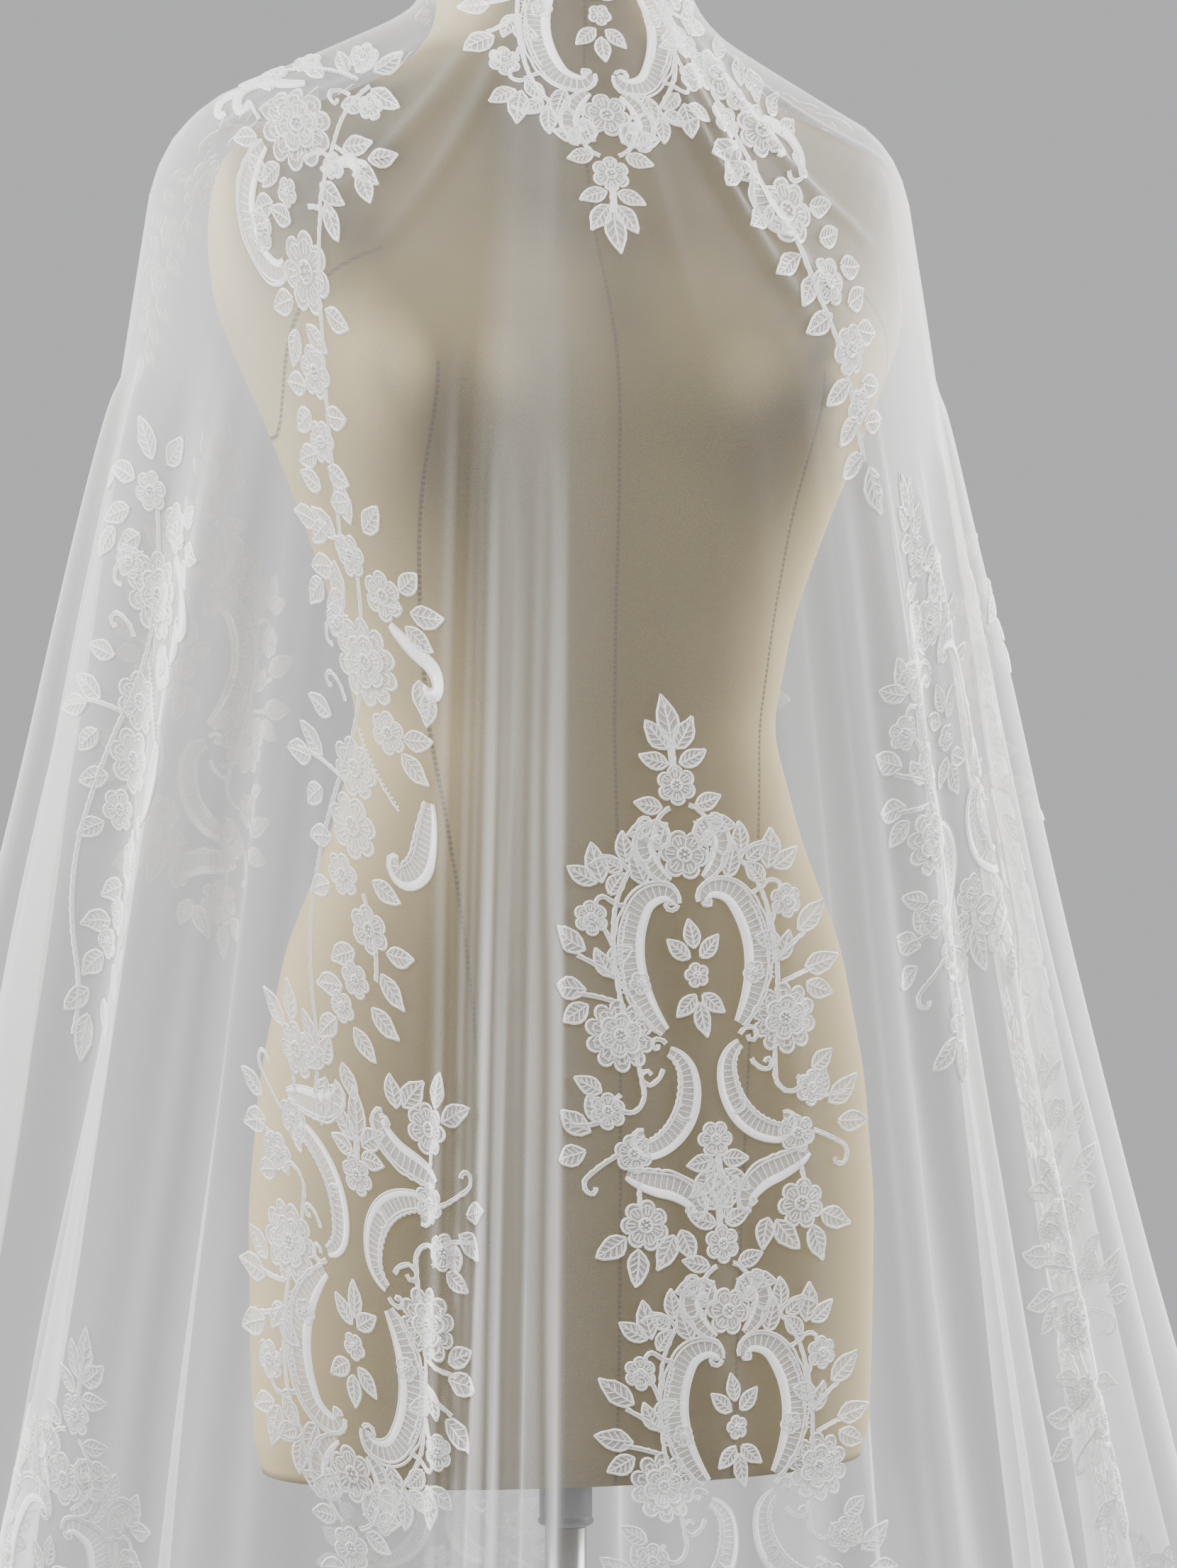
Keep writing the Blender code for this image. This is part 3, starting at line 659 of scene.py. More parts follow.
CREASES = (
    # angle and height of one end, angle and height of the other, depth, half width
    (-40, 1.512, -62, 1.400, 0.0045, 0.0070),
    (-30, 1.516, -52, 1.370, 0.0030, 0.0050),
    (-58, 1.505, -84, 1.440, 0.0035, 0.0060),
    (16, 1.520, 36, 1.345, 0.0060, 0.0050),
    (22, 1.520, 43, 1.352, 0.0050, 0.0045),
    (34, 1.514, 58, 1.390, 0.0040, 0.0060),
    (52, 1.508, 78, 1.440, 0.0035, 0.0055),
    (4, 1.500, 12, 1.330, 0.0022, 0.0060),
    (-14, 1.505, -20, 1.340, 0.0020, 0.0065),
    (-35, 1.330, -28.5, 0.420, 0.0090, 0.0045),
    (-32, 1.310, -26, 0.300, 0.0080, 0.0040),
    (-28.5, 1.280, -23.5, 0.260, 0.0080, 0.0045),
    (-25, 1.240, -21, 0.220, 0.0060, 0.0050),
    (-21, 1.120, -18, 0.200, 0.0045, 0.0060),
    (20, 1.300, 15, 0.700, 0.0022, 0.0080),
    (31, 1.310, 27, 0.500, 0.0045, 0.0055),
    (35, 1.300, 30, 0.320, 0.0060, 0.0060),
    (4, 1.150, 0, 0.300, 0.0030, 0.0110),
    (-7, 1.020, -8, 0.160, 0.0030, 0.0130),
    (12, 0.900, 9, 0.120, 0.0035, 0.0120),
    (150, 1.500, 166, 1.330, 0.0030, 0.0060),
    (-150, 1.500, -166, 1.330, 0.0030, 0.0070),
    (172, 1.360, 172, 0.500, 0.0040, 0.0090),
    (-168, 1.340, -170, 0.420, 0.0045, 0.0080),
    (160, 1.300, 162, 0.300, 0.0050, 0.0090),
    (-156, 1.310, -160, 0.260, 0.0050, 0.0080),
    (179, 1.100, 178, 0.140, 0.0035, 0.0120),
    (110, 1.480, 128, 1.400, 0.0035, 0.0060),
    (-112, 1.470, -130, 1.390, 0.0035, 0.0060),
)


def along(table, angles, column):
    """A table's column round the axis, its corners rounded by an average over a few degrees."""
    table = np.array(table, dtype=float)
    shifts = np.linspace(-ROUNDING, ROUNDING, 7)
    turned_to = (angles[..., None] + shifts + 180.0) % 360.0 - 180.0
    return np.interp(turned_to, table[:, 0], table[:, column]).mean(axis=-1)


def bend_line(table, angles, centre):
    """Points of a bend line: (cx + r sin a, cy - r cos a, height)."""
    radius = along(table, angles, 1)
    turn = np.radians(angles)
    x = centre[0] + radius * np.sin(turn)
    y = centre[1] - radius * np.cos(turn)
    return np.stack([x, y, along(table, angles, 2)], axis=-1)


def drape(angles, rows):
    """The unfolded sheet for a grid of angles, one row of them for each share of the way down:
    0 rim, 1 neck's base, 2 support line, 3 hem. It runs straight between the bend lines, and each
    bend is eased by an average of the rows just above and just below."""
    lines = np.stack(
        [
            bend_line(RIM_LINE, angles, NECK_CENTRE),
            bend_line(NECK_LINE, angles, NECK_CENTRE),
            bend_line(SUPPORT_LINE, angles, (0.0, 0.0)),
            bend_line(HEM_LINE, angles, (0.0, 0.0)),
        ]
    )
    total = np.zeros_like(lines[0])
    from_bend = rows - 2.0
    from_bend = np.where(from_bend < 0, from_bend / BEND_EASE[0], from_bend / BEND_EASE[1])
    for shift in BEND_SHIFTS:
        moved = from_bend + shift
        moved = np.where(moved < 0, moved * BEND_EASE[0], moved * BEND_EASE[1])
        moved = np.clip(moved + 2.0, 0.0, 3.0)
        whole = np.minimum(moved.astype(int), 2)
        share = (moved - whole)[:, None, None]
        pick = np.arange(len(rows))
        total += lines[whole, pick] * (1 - share) + lines[whole + 1, pick] * share
    return total / len(BEND_SHIFTS)


def fold_paths(rows):
    """For each row and column: how far across its fold and how far out a point lies, both as
    shares of the fold's width. The cloth's heading swings like a river's bends,
    turn = size · sin(2 pi s) + ripple · sin(2 pi n s + phase), across and out are the running sums
    of its cosine and sine, and out is brought back to nothing at the fold's end."""
    table = np.array(FOLDS, dtype=float)
    shares = np.linspace(0.0, 1.0, COLUMNS_A_FOLD * FINE_STEPS + 1)
    begins, swing, ripple, ripples = (table[:, k][None, :, None] for k in (2, 3, 4, 5))
    folded = np.clip((rows[:, None, None] - begins) / (3.0 - begins), 0.0, 1.0)
    grown = folded**SWING_RISE
    fold_phase, row_phase = RIPPLE_PHASES
    phase = np.arange(len(table))[None, :, None] * fold_phase + rows[:, None, None] * row_phase
    turn = np.radians(swing) * grown * np.sin(2 * math.pi * shares)
    gate = np.clip(shares * RIPPLE_FADE, 0, 1) * np.clip((1 - shares) * RIPPLE_FADE, 0, 1)
    small = np.sin(2 * math.pi * ripples * shares + phase)
    turn = turn + np.radians(ripple) * np.sqrt(grown) * gate * small
    middle = (turn[..., 1:] + turn[..., :-1]) / 2
    start = np.zeros(middle.shape[:2] + (1,))
    across = np.concatenate([start, np.cumsum(np.cos(middle), axis=-1)], axis=-1)
    out = np.concatenate([start, np.cumsum(np.sin(middle), axis=-1)], axis=-1)
    out = out - out[..., -1:] * shares
    length = across[..., -1:]
    return (across / length)[..., :-1:FINE_STEPS], (out / length)[..., :-1:FINE_STEPS]


def crease_heights(angles, heights, radius):
    """The sum of the creases: depth · exp(-(distance across / half width)²), faded at both ends by
    sin(pi · share of the way)^0.6."""
    total = np.zeros_like(angles)
    for first, first_z, second, second_z, depth, half in CREASES:
        share = (first_z - heights) / (first_z - second_z)
        centre = first + (second - first) * share
        off = (angles - centre + 180.0) % 360.0 - 180.0
        apart = np.radians(off) * radius / half
        fade = np.sin(math.pi * np.clip(share, 0.0, 1.0)) ** 0.6
        total += depth * np.exp(-apart * apart) * fade
    return total


def smooth_noise(rows, columns, row_knots, column_knots, seed):
    """Seeded values between -1 and 1 at a few knots, joined smoothly over the grid, closed round."""
    knots = np.random.default_rng(seed).uniform(-1.0, 1.0, (row_knots, column_knots))
    knots = np.concatenate([knots, knots[:, :1]], axis=1)
    at_row = np.linspace(0, row_knots - 1, rows)
    at_column = np.linspace(0, column_knots, columns, endpoint=False)
    r, c = np.minimum(at_row.astype(int), row_knots - 2), at_column.astype(int)
    u, v = at_row - r, at_column - c
    u, v = u * u * (3 - 2 * u), v * v * (3 - 2 * v)
    low = knots[r][:, c] * (1 - v) + knots[r][:, c + 1] * v
    high = knots[r + 1][:, c] * (1 - v) + knots[r + 1][:, c + 1] * v
    return low * (1 - u[:, None]) + high * u[:, None]


def veil_grid():
    """Points of the hanging sheet from rim to hem, closed round, with the share of the way down of
    each row."""
    rows = np.concatenate(
        [
            np.linspace(RIM_ROW, 1.0, ROWS_ON_NECK, endpoint=False),
            np.linspace(1.0, 2.0, ROWS_ON_SHOULDERS, endpoint=False),
            np.linspace(2.0, 3.0, ROWS_BELOW),
        ]
    )
    table = np.array(FOLDS, dtype=float)
    down = np.maximum(rows - 2.0, 0.0)[:, None]
    edges = table[:, 0] + (table[:, 1] - table[:, 0]) * down
    widths = np.concatenate([edges[:, 1:], edges[:, :1] + 360.0], axis=1) - edges
    across, out = fold_paths(rows)
    angles = (edges[..., None] + widths[..., None] * across).reshape(len(rows), -1)
    middles = drape(edges + widths / 2, rows)
    radius = np.hypot(middles[..., 0], middles[..., 1])
    out = (out * (np.radians(widths) * radius)[..., None]).reshape(len(rows), -1)
    base = drape(angles, rows)
    ahead = drape(angles + 1.0, rows)[..., :2] - drape(angles - 1.0, rows)[..., :2]
    ahead /= np.linalg.norm(ahead, axis=-1)[..., None]
    lumps = sum(height * smooth_noise(*angles.shape, *knots) for *knots, height in LUMPS)
    lean = np.clip(down / FREE_BELOW, 0.0, 1.0) * lumps
    reach = np.hypot(base[..., 0], base[..., 1])
    push = out + CLOTH_STAND_OFF + lean + crease_heights(angles, base[..., 2], reach)
    base[..., 0] += ahead[..., 1] * push
    base[..., 1] -= ahead[..., 0] * push
    return base, rows


def crown_grid(columns):
    """Flat rings over the neck's top, from the middle out, and the bend down to the rim."""
    turn = np.radians(np.linspace(FOLDS[0][0], FOLDS[0][0] + 360.0, columns, endpoint=False))
    radii = [CROWN_FLAT * share for share in CROWN_RINGS] + [CROWN_BEND[0]]
    drops = [0.0 for _ in CROWN_RINGS] + [CROWN_BEND[1]]
    rings = [
        np.stack(
            [
                NECK_CENTRE[0] + radius * np.sin(turn),
                NECK_CENTRE[1] - radius * np.cos(turn),
                np.full(columns, CLOTH_TOP - drop),
            ],
            axis=-1,
        )
        for radius, drop in zip(radii, drops)
    ]
    return np.array(rings)


def cloth_lengths(grid):
    """Running length in metres down each column and round each row of a closed grid."""
    down = np.linalg.norm(np.diff(grid, axis=0), axis=-1)
    down = np.concatenate([np.zeros((1, grid.shape[1])), np.cumsum(down, axis=0)])
    closed = np.concatenate([grid, grid[:, :1]], axis=1)
    round_it = np.linalg.norm(np.diff(closed, axis=1), axis=-1)
    round_it = np.concatenate([np.zeros((len(grid), 1)), np.cumsum(round_it, axis=1)], axis=1)
    return down, round_it


hanging, hanging_rows = veil_grid()
veil_columns = hanging.shape[1]
cloth = np.concatenate([crown_grid(veil_columns), hanging])
cloth_down, cloth_round = cloth_lengths(cloth)

NET_PITCH = 0.0013
NET_COVER = 0.105
SMOOTH_NET = 0.72
GATHERED_NET = 1.1
THREAD_COVER = 0.9
HOLE_COVER = 0.45
LEAST_FACING = 0.16
MOST_HIDDEN = 0.92
GATHER_SWINGS = (50.0, 100.0)
GATHER_ROWS = (1.6, 2.1)
GATHER_LEAST = 0.35
GATHER_BLUR = 15


def tulle_finish():
    """Nylon net: three sets of fine waves a sixth of a turn apart leave round holes between
    threads. A layer covers about 7 parts in 100 of what lies behind it where it is smooth, 18 where
    it is gathered, and more where it is seen edge-on, 1 - (1 - cover)^(1 / facing)."""
    net = Finish(
        "tulle_net",
        Base_Color=(0.90, 0.90, 0.905, 1.0),
        Roughness=0.55,
        Sheen_Weight=0.25,
        Sheen_Roughness=0.4,
    )
    spot = net.place(source="UV")
    u, v = (net.coordinate(spot, axis) * (2 * math.pi / NET_PITCH) for axis in "XY")
    waves = u.sine() + (u * 0.5 + v * 0.866).sine() + (v * 0.866 - u * 0.5).sine()
    threads = (waves * -0.25 + 0.55).step(0.0, 1.0)
    edge_on = net.node("ShaderNodeLayerWeight", None, {"Blend": 0.5}, "Facing")
    facing = (1.0 - edge_on).most(LEAST_FACING)
    gathered = net.node("ShaderNodeAttribute", {"attribute_name": "gathered"}, None, "Fac")
    net_here = gathered * GATHERED_NET + SMOOTH_NET
    cover = (threads * THREAD_COVER + HOLE_COVER) * net_here * NET_COVER
    hidden = (1.0 - (1.0 - cover) ** (1.0 / facing)).least(MOST_HIDDEN)
    net.feed(Alpha=hidden)
    return net.made


def gathered_shares():
    """How far the cloth is gathered at each point, 0 to 1: the swing of its fold as a share of the
    range given, averaged over a few columns, times a share that grows down over the shoulders."""
    low, high = GATHER_SWINGS
    swings = np.array([fold[3] for fold in FOLDS], dtype=float)
    round_it = np.repeat(np.clip((swings - low) / (high - low), 0.0, 1.0), COLUMNS_A_FOLD)
    blurred = np.convolve(np.tile(round_it, 3), np.ones(GATHER_BLUR) / GATHER_BLUR, "same")
    low, high = GATHER_ROWS
    down = np.concatenate([np.zeros(len(cloth) - len(hanging_rows)), hanging_rows])
    down = GATHER_LEAST + (1.0 - GATHER_LEAST) * np.clip((down - low) / (high - low), 0.0, 1.0)
    return down[:, None] * blurred[None, veil_columns : 2 * veil_columns]


veil_uv = np.stack([np.broadcast_to(cloth_round[:, :-1].max(axis=0), cloth.shape[:2]), cloth_down], axis=-1)
crown_middle = cloth[0].mean(axis=0)
veil_points = np.concatenate([[crown_middle], cloth.reshape(-1, 3)])
veil_faces = grid_faces(len(cloth), veil_columns, closed=True)[:, ::-1] + 1
crown_turn = np.arange(veil_columns)
crown_next = (crown_turn + 1) % veil_columns
crown_fan = np.stack([np.zeros_like(crown_turn), 1 + crown_turn, 1 + crown_next, 1 + crown_next], axis=1)
veil = mesh_piece(
    "veil_tulle",
    veil_points,
    np.concatenate([crown_fan, veil_faces]),
    [tulle_finish()],
    uv=np.concatenate([[veil_uv[0, 0]], veil_uv.reshape(-1, 2)]),
)
gathered = veil.data.attributes.new("gathered", "FLOAT", "POINT")
gathered.data.foreach_set("value", np.concatenate([[0.0], gathered_shares().ravel()]).astype(np.float32))
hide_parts("veil_crown", "veil_front", "veil_right", "veil_back", "veil_left")
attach(veil, "root")


# The lace: flowers, leaves, scrolls and ladder bands embroidered in matt and satin cord on a denser
# net, cut out along their edges and sewn to the outside of the tulle. Clear beads fill the flower
# middles. Each piece is drawn flat in millimetres and then follows the cloth under it.
CORD_RADIUS = 0.70
CORD_RISE = 1.7
CORD_STEP = 2.1
SATIN_RISE = 0.9
NET_RISE = 0.22
BAR_SPACING = 3.3
BEAD_RADIUS = 0.85
BEAD_SIDES = 6
INNER_CORD_FROM = 6.5
SIX_BEADS_FROM = 6.0
PETAL_STEPS = 7
CORD, SATIN, DENSE_NET, BEAD = range(4)


def running_length(path):
    """The way along a path from its start to each of its points."""
    return np.concatenate([[0.0], np.cumsum(np.linalg.norm(np.diff(path, axis=0), axis=1))])


def facing_out(angles):
    """Arrows (cos a, sin a) of length 1, one for each angle in radians."""
    return np.stack([np.cos(angles), np.sin(angles)], axis=1)


def facing_left(path):
    """Arrows of length 1 to the left of a path at each of its points, from its neighbours."""
    ahead = np.gradient(path, axis=0)
    ahead /= np.maximum(np.linalg.norm(ahead, axis=1), 1e-9)[:, None]
    return np.stack([-ahead[:, 1], ahead[:, 0]], axis=1)


def beside(path, off):
    """The line that runs at a distance to the left of a path."""
    return path + facing_left(path) * np.broadcast_to(off, len(path))[:, None]


def wavy(path, depth, length):
    """A path shaken to either side by depth · sin(2 pi · way / length)."""
    return beside(path, depth * np.sin(2 * math.pi * running_length(path) / length))


def trail(x, y, heading, arcs, step=CORD_STEP):
    """A line drawn from a point: arc after arc, each a length and a turn to the left in degrees.
    A point is the running sum of step · (cos, sin) of the heading."""
    lengths, turns = np.array(arcs, dtype=float).T
    ends = np.concatenate([[0.0], np.cumsum(lengths)])
    heads = np.concatenate([[0.0], np.cumsum(turns)]) + heading
    count = max(int(round(ends[-1] / step)), 3)
    way = np.linspace(0.0, ends[-1], count + 1)
    head = np.radians(np.interp((way[1:] + way[:-1]) / 2, ends, heads))
    moves = facing_out(head) * (ends[-1] / count)
    return np.concatenate([[[x, y]], np.array((x, y)) + np.cumsum(moves, axis=0)])


class FlatLace:
    """A piece of lace laid flat: points (across, up, off the cloth) in millimetres, with its faces
    and each face's finish."""

    def __init__(self):
        self.points = []
        self.faces = []
        self.finishes = []
        self.count = 0

    def add(self, points, faces, finish):
        """Takes in one more mesh of whole arrays."""
        self.points.append(points)
        self.faces.append(np.asarray(faces) + self.count)
        self.finishes.append(np.full(len(faces), finish))
        self.count += len(points)

    def strip(self, path, halves, heights, finish):
        """A band along a path: at each of its points, one point for every share of the half width
        given, path + share · half width · side, at that share's height."""
        side = facing_left(path)
        shares, rises = np.array(heights, dtype=float).T
        halves = np.broadcast_to(halves, len(path))
        across = path[:, None, :] + side[:, None, :] * (halves[:, None, None] * shares[None, :, None])
        lift = np.broadcast_to(rises[None, :, None], across.shape[:2] + (1,))
        points = np.concatenate([across, lift], axis=2).reshape(-1, 3)
        self.add(points, grid_faces(len(path), len(shares))[:, ::-1], finish)

    def cord(self, path, radius=CORD_RADIUS, base=0.0):
        """A cord lying along a path: a low roof of two faces, shaded round."""
        self.strip(path, radius, ((1, base), (0, base + CORD_RISE * radius), (-1, base)), CORD)

    def satin(self, path, half):
        """A band of long satin stitches, domed across, between two cords."""
        halves = half * np.minimum(np.sin(math.pi * np.linspace(0.03, 0.97, len(path))) ** 0.4, 1.0)
        rises = ((1, 0.1), (0.55, SATIN_RISE), (0, SATIN_RISE * 1.25), (-0.55, SATIN_RISE), (-1, 0.1))
        self.strip(path, halves, rises, SATIN)
        for edge in (-1, 1):
            self.cord(beside(path, halves * edge), CORD_RADIUS * 0.8)

    def ladder(self, path, half):
        """A band of bars over net, between an outer cord and an inner satin rib."""
        taper = np.sin(math.pi * np.linspace(0.04, 0.96, len(path))) ** 0.5
        inner = beside(path, half * taper)
        outer = beside(path, -half * taper)
        self.cord(outer, CORD_RADIUS)
        self.cord(wavy(beside(path, -half * taper * 1.3), 0.35, 3.2), CORD_RADIUS * 1.1)
        self.strip(path, abs(half) * taper, ((1, NET_RISE), (-1, NET_RISE)), DENSE_NET)
        rib = beside(path, half * taper * 0.66)
        self.strip(rib, half * taper * 0.34, ((1, 0.3), (0, SATIN_RISE), (-1, 0.3)), SATIN)
        self.cord(inner, CORD_RADIUS * 0.8)
        bars = max(int(running_length(path)[-1] / BAR_SPACING), 2)
        at = np.linspace(0.05, 0.95, bars) * (len(path) - 1)
        for one in at:
            k = int(one)
            share = one - k
            after = min(k + 1, len(path) - 1)
            bar = [line[k] * (1 - share) + line[after] * share for line in (outer, rib)]
            self.cord(np.array(bar), CORD_RADIUS * 0.5)

    def bead(self, x, y, radius=BEAD_RADIUS, height=0.6):
        """A round clear bead as two rings of points and a top."""
        round_it = facing_out(np.linspace(0.0, 2 * math.pi, BEAD_SIDES, endpoint=False))
        rings = [
            np.column_stack([np.array((x, y)) + radius * share * round_it, np.full(BEAD_SIDES, rise)])
            for share, rise in ((1.0, height), (0.75, height + 0.9 * radius))
        ]
        points = np.concatenate([*rings, [[x, y, height + 1.25 * radius]]])
        around = np.arange(BEAD_SIDES)
        after = (around + 1) % BEAD_SIDES
        top = np.full(BEAD_SIDES, 2 * BEAD_SIDES)
        cap = np.stack([BEAD_SIDES + around, BEAD_SIDES + after, top, top], axis=1)
        self.add(points, np.concatenate([grid_faces(2, BEAD_SIDES, closed=True), cap]), BEAD)

    def leaf(self, x, y, heading, length, width, bend=14.0):
        """A leaf: half width = width / 2 · sin(pi s^0.8) about a bent vein, with slanting bars."""
        vein = trail(x, y, heading, ((length, bend),), length / 6)
        s = np.linspace(0.0, 1.0, len(vein))
        half = width / 2 * np.sin(math.pi * s**0.8)
        left, right = beside(vein, half), beside(vein, -half)
        self.strip(vein, half, ((1, NET_RISE), (-1, NET_RISE)), DENSE_NET)
        self.cord(wavy(np.concatenate([left, right[::-1]]), 0.25, 2.6))
        self.cord(vein, CORD_RADIUS * 0.7, 0.3)
        for k in range(2, len(vein) - 1):
            for edge in (left, right):
                bar = np.stack([vein[k - 1], edge[k] * 0.85 + vein[k] * 0.15])
                self.cord(bar, CORD_RADIUS * 0.5, 0.3)

    def flower(self, x, y, radius, petals, turn=0.0, base=0.0):
        """A flower: outline radius R (0.74 + 0.26 |sin(n t / 2)|^0.7) in cord, a second outline in
        the larger ones, three short cords to each petal, and a ring in the middle with beads."""
        t = np.linspace(0.0, 2 * math.pi, petals * PETAL_STEPS + 1)
        lobes = 0.74 + 0.26 * np.abs(np.sin(petals * t / 2)) ** 0.7
        round_it = facing_out(t + math.radians(turn))
        centre = np.array((x, y))
        rim = centre + radius * lobes[:, None] * round_it
        ring = centre + radius * 0.28 * facing_out(np.linspace(0.0, 2 * math.pi, 11))
        if radius > INNER_CORD_FROM:
            inner = centre + radius * (lobes[:, None] * 0.80) * round_it
            self.cord(inner, CORD_RADIUS * 0.6, base + 0.3)
        disc = np.stack([centre + radius * s * lobes[:, None] * round_it for s in (0.0, 0.6, 0.98)])
        rise = np.array((0.5, 0.45, NET_RISE))[:, None, None] + base
        points = np.concatenate([disc, np.broadcast_to(rise, disc.shape[:2] + (1,))], axis=2)
        self.add(points.reshape(-1, 3), grid_faces(3, len(t)), DENSE_NET)
        self.cord(rim, CORD_RADIUS * 1.05, base)
        self.cord(ring, CORD_RADIUS, base + 0.5)
        for petal in range(petals):
            edge = math.radians(turn) + 2 * math.pi * petal / petals
            middle = edge + math.pi / petals
            veins = ((edge, 0.34, 0.72), (middle - 0.12, 0.42, 0.84), (middle + 0.12, 0.42, 0.84))
            for angle, start, end in veins:
                way = np.array((math.cos(angle), math.sin(angle)))
                self.cord(centre + radius * np.outer((start, end), way), CORD_RADIUS * 0.55, base + 0.4)
        self.bead(x, y, BEAD_RADIUS, base + 1.0)
        beads = 6 if radius > SIX_BEADS_FROM else 3
        reach = radius * 0.19
        for k in range(beads):
            angle = 2 * math.pi * k / beads + 0.3
            self.bead(x + reach * math.cos(angle), y + reach * math.sin(angle), BEAD_RADIUS * 0.8, base + 0.9)

    def rose(self, x, y, radius, turn=0.0):
        """A double flower: ten petals under six."""
        self.flower(x, y, radius, 10, turn)
        self.flower(x, y, radius * 0.62, 6, turn + 12, 0.9)

    def beaded(self, path, every=2.4):
        """Beads in a row along a path."""
        length = running_length(path)
        for place in np.arange(every / 2, length[-1], every):
            x, y = np.interp(place, length, path[:, 0]), np.interp(place, length, path[:, 1])
            self.bead(x, y, 0.75, 0.3)

    def whole(self):
        """All points, faces and finishes as arrays, each face wound to look up from the cloth."""
        points, faces = np.concatenate(self.points), np.concatenate(self.faces)
        first = (points[faces[:, 2]] - points[faces[:, 0]])[:, :2]
        second = (points[faces[:, 3]] - points[faces[:, 1]])[:, :2]
        away = first[:, 0] * second[:, 1] - first[:, 1] * second[:, 0] < 0
        faces[away] = faces[away][:, [1, 0, 3, 2]]
        three = faces[:, 0] == faces[:, 1]
        faces[three] = faces[three][:, [2, 3, 0, 1]]
        return points, faces, np.concatenate(self.finishes)


# Scrolls: kind, start across, start up, heading, half width, then arcs of length and turn
MEDALLION_SCROLLS = (
    ("cord", 5, 93, -20, 0.0, ((12, -45), (14, -25), (9, 90), (7, 130))),
    ("beaded", 7, 85, -50, 0.0, ((10, -25), (12, -10))),
    ("ladder", 9, 55, 35, 4.6, ((20, 40), (12, 80), (9, 150), (6, 160))),
    ("cord", 12, 74, 20, 0.0, ((12, 30), (9, 120), (6, 140))),
    ("ladder", 20, -21, 50, 6.8, ((34, 32), (34, 40), (16, 62), (9, 90))),
    ("cord", 6.5, 43, 285, 0.0, ((5, 90), (5, 130), (4, 150))),
    ("ladder", 19, -31, 205, -5.2, ((16, 58), (26, 42), (22, 40), (11, 90), (7, 120))),
    ("cord", 20, -27, 60, 0.0, ((7, -70), (7, -130), (5, -150))),
    ("cord", 24, -40, -70, 0.0, ((10, 50), (8, 130), (6, 150))),
    ("cord", 43, 24, 75, 0.0, ((15, -20), (9, -110), (7, -150))),
    ("ladder", 50, -92, 205, 6.0, ((22, -12), (18, 40), (8, 110))),
    ("cord", 14, -113, 300, 0.0, ((5, 110), (5, 150))),
    ("cord", 54, -82, -25, 0.0, ((20, -15), (9, -90), (8, -150))),
    ("cord", 30, 62, -50, 0.0, ((28, -30), (34, -14), (30, -8), (26, 10))),
    ("cord", 44, 8, 40, 0.0, ((22, -14),)),
    ("cord", 46, -4, 20, 0.0, ((20, -14),)),
    ("cord", 52, -60, -40, 0.0, ((14, 30), (12, 20))),
    ("cord", 44, -96, -80, 0.0, ((14, -10),)),
    ("cord", 30, 62, 60, 0.0, ((14, -60), (10, -40))),
    ("cord", 0.7, -86, 270, 0.0, ((12, 0),)),
    ("cord", 0.7, 112, 90, 0.0, ((16, 0),)),
    ("cord", 34, 44, 10, 0.0, ((10, 30), (8, -100), (6, -120))),
    ("cord", 36, -48, -100, 0.0, ((12, 60), (10, 80), (8, 120))),
    ("cord", 12, -66, -20, 0.0, ((8, 90), (6, 130))),
    ("beaded", 33, 40, -62, 0.0, ((20, -22), (22, -8))),
)
# Leaves: start across, start up, heading, length, width
MEDALLION_LEAVES = (
    (0, 126, 90, 26, 11),
    (2, 123, 50, 19, 10),
    (3, 115, 16, 16, 9),
    (9, 93, 8, 15, 8.4),
    (16, 84, -22, 14, 8.4),
    (22, 54, 66, 19, 10),
    (31, 66, 82, 16, 9),
    (34, 62, 30, 14, 8.4),
    (45, 56, 74, 21, 11),
    (48, 56, 25, 17, 9),
    (42, 50, 125, 14, 9),
    (58, 22, 30, 22, 11.5),
    (47, 16, 150, 15, 9),
    (46, 8, 60, 16, 9),
    (60, 2, 2, 21, 11),
    (60, -6, -34, 17, 10),
    (58, -50, 24, 15, 9),
    (66, -70, 26, 21, 11),
    (70, -80, -18, 18, 10),
    (60, -66, 66, 16, 9.6),
    (28, -124, -62, 20, 10.5),
    (48, -130, -84, 19, 10.5),
    (54, -124, -36, 19, 10.5),
    (24, -122, -112, 16, 9.6),
    (0, -94, -90, 27, 11),
    (3, -94, -48, 18, 9.6),
    (3, -88, -14, 14, 8.4),
    (0, 20, 90, 15, 8),
    (3, 15, 38, 15, 8),
    (2, -4, -50, 15, 8),
    (0, -8, -90, 18, 8),
)
# Flowers: across, up, radius, petals (10 is double)
MEDALLION_FLOWERS = (
    (0, 104, 10, 6),
    (0, 68, 12.5, 6),
    (45, -22, 18, 10),
    (56, -60, 9, 6),
    (45, -82, 9.5, 6),
    (0, -78, 9, 6),
    (43, -118, 12.5, 7),
    (53, 38, 8.5, 6),
    (0, 6, 6, 5),
    (31, 4, 5.5, 5),
)
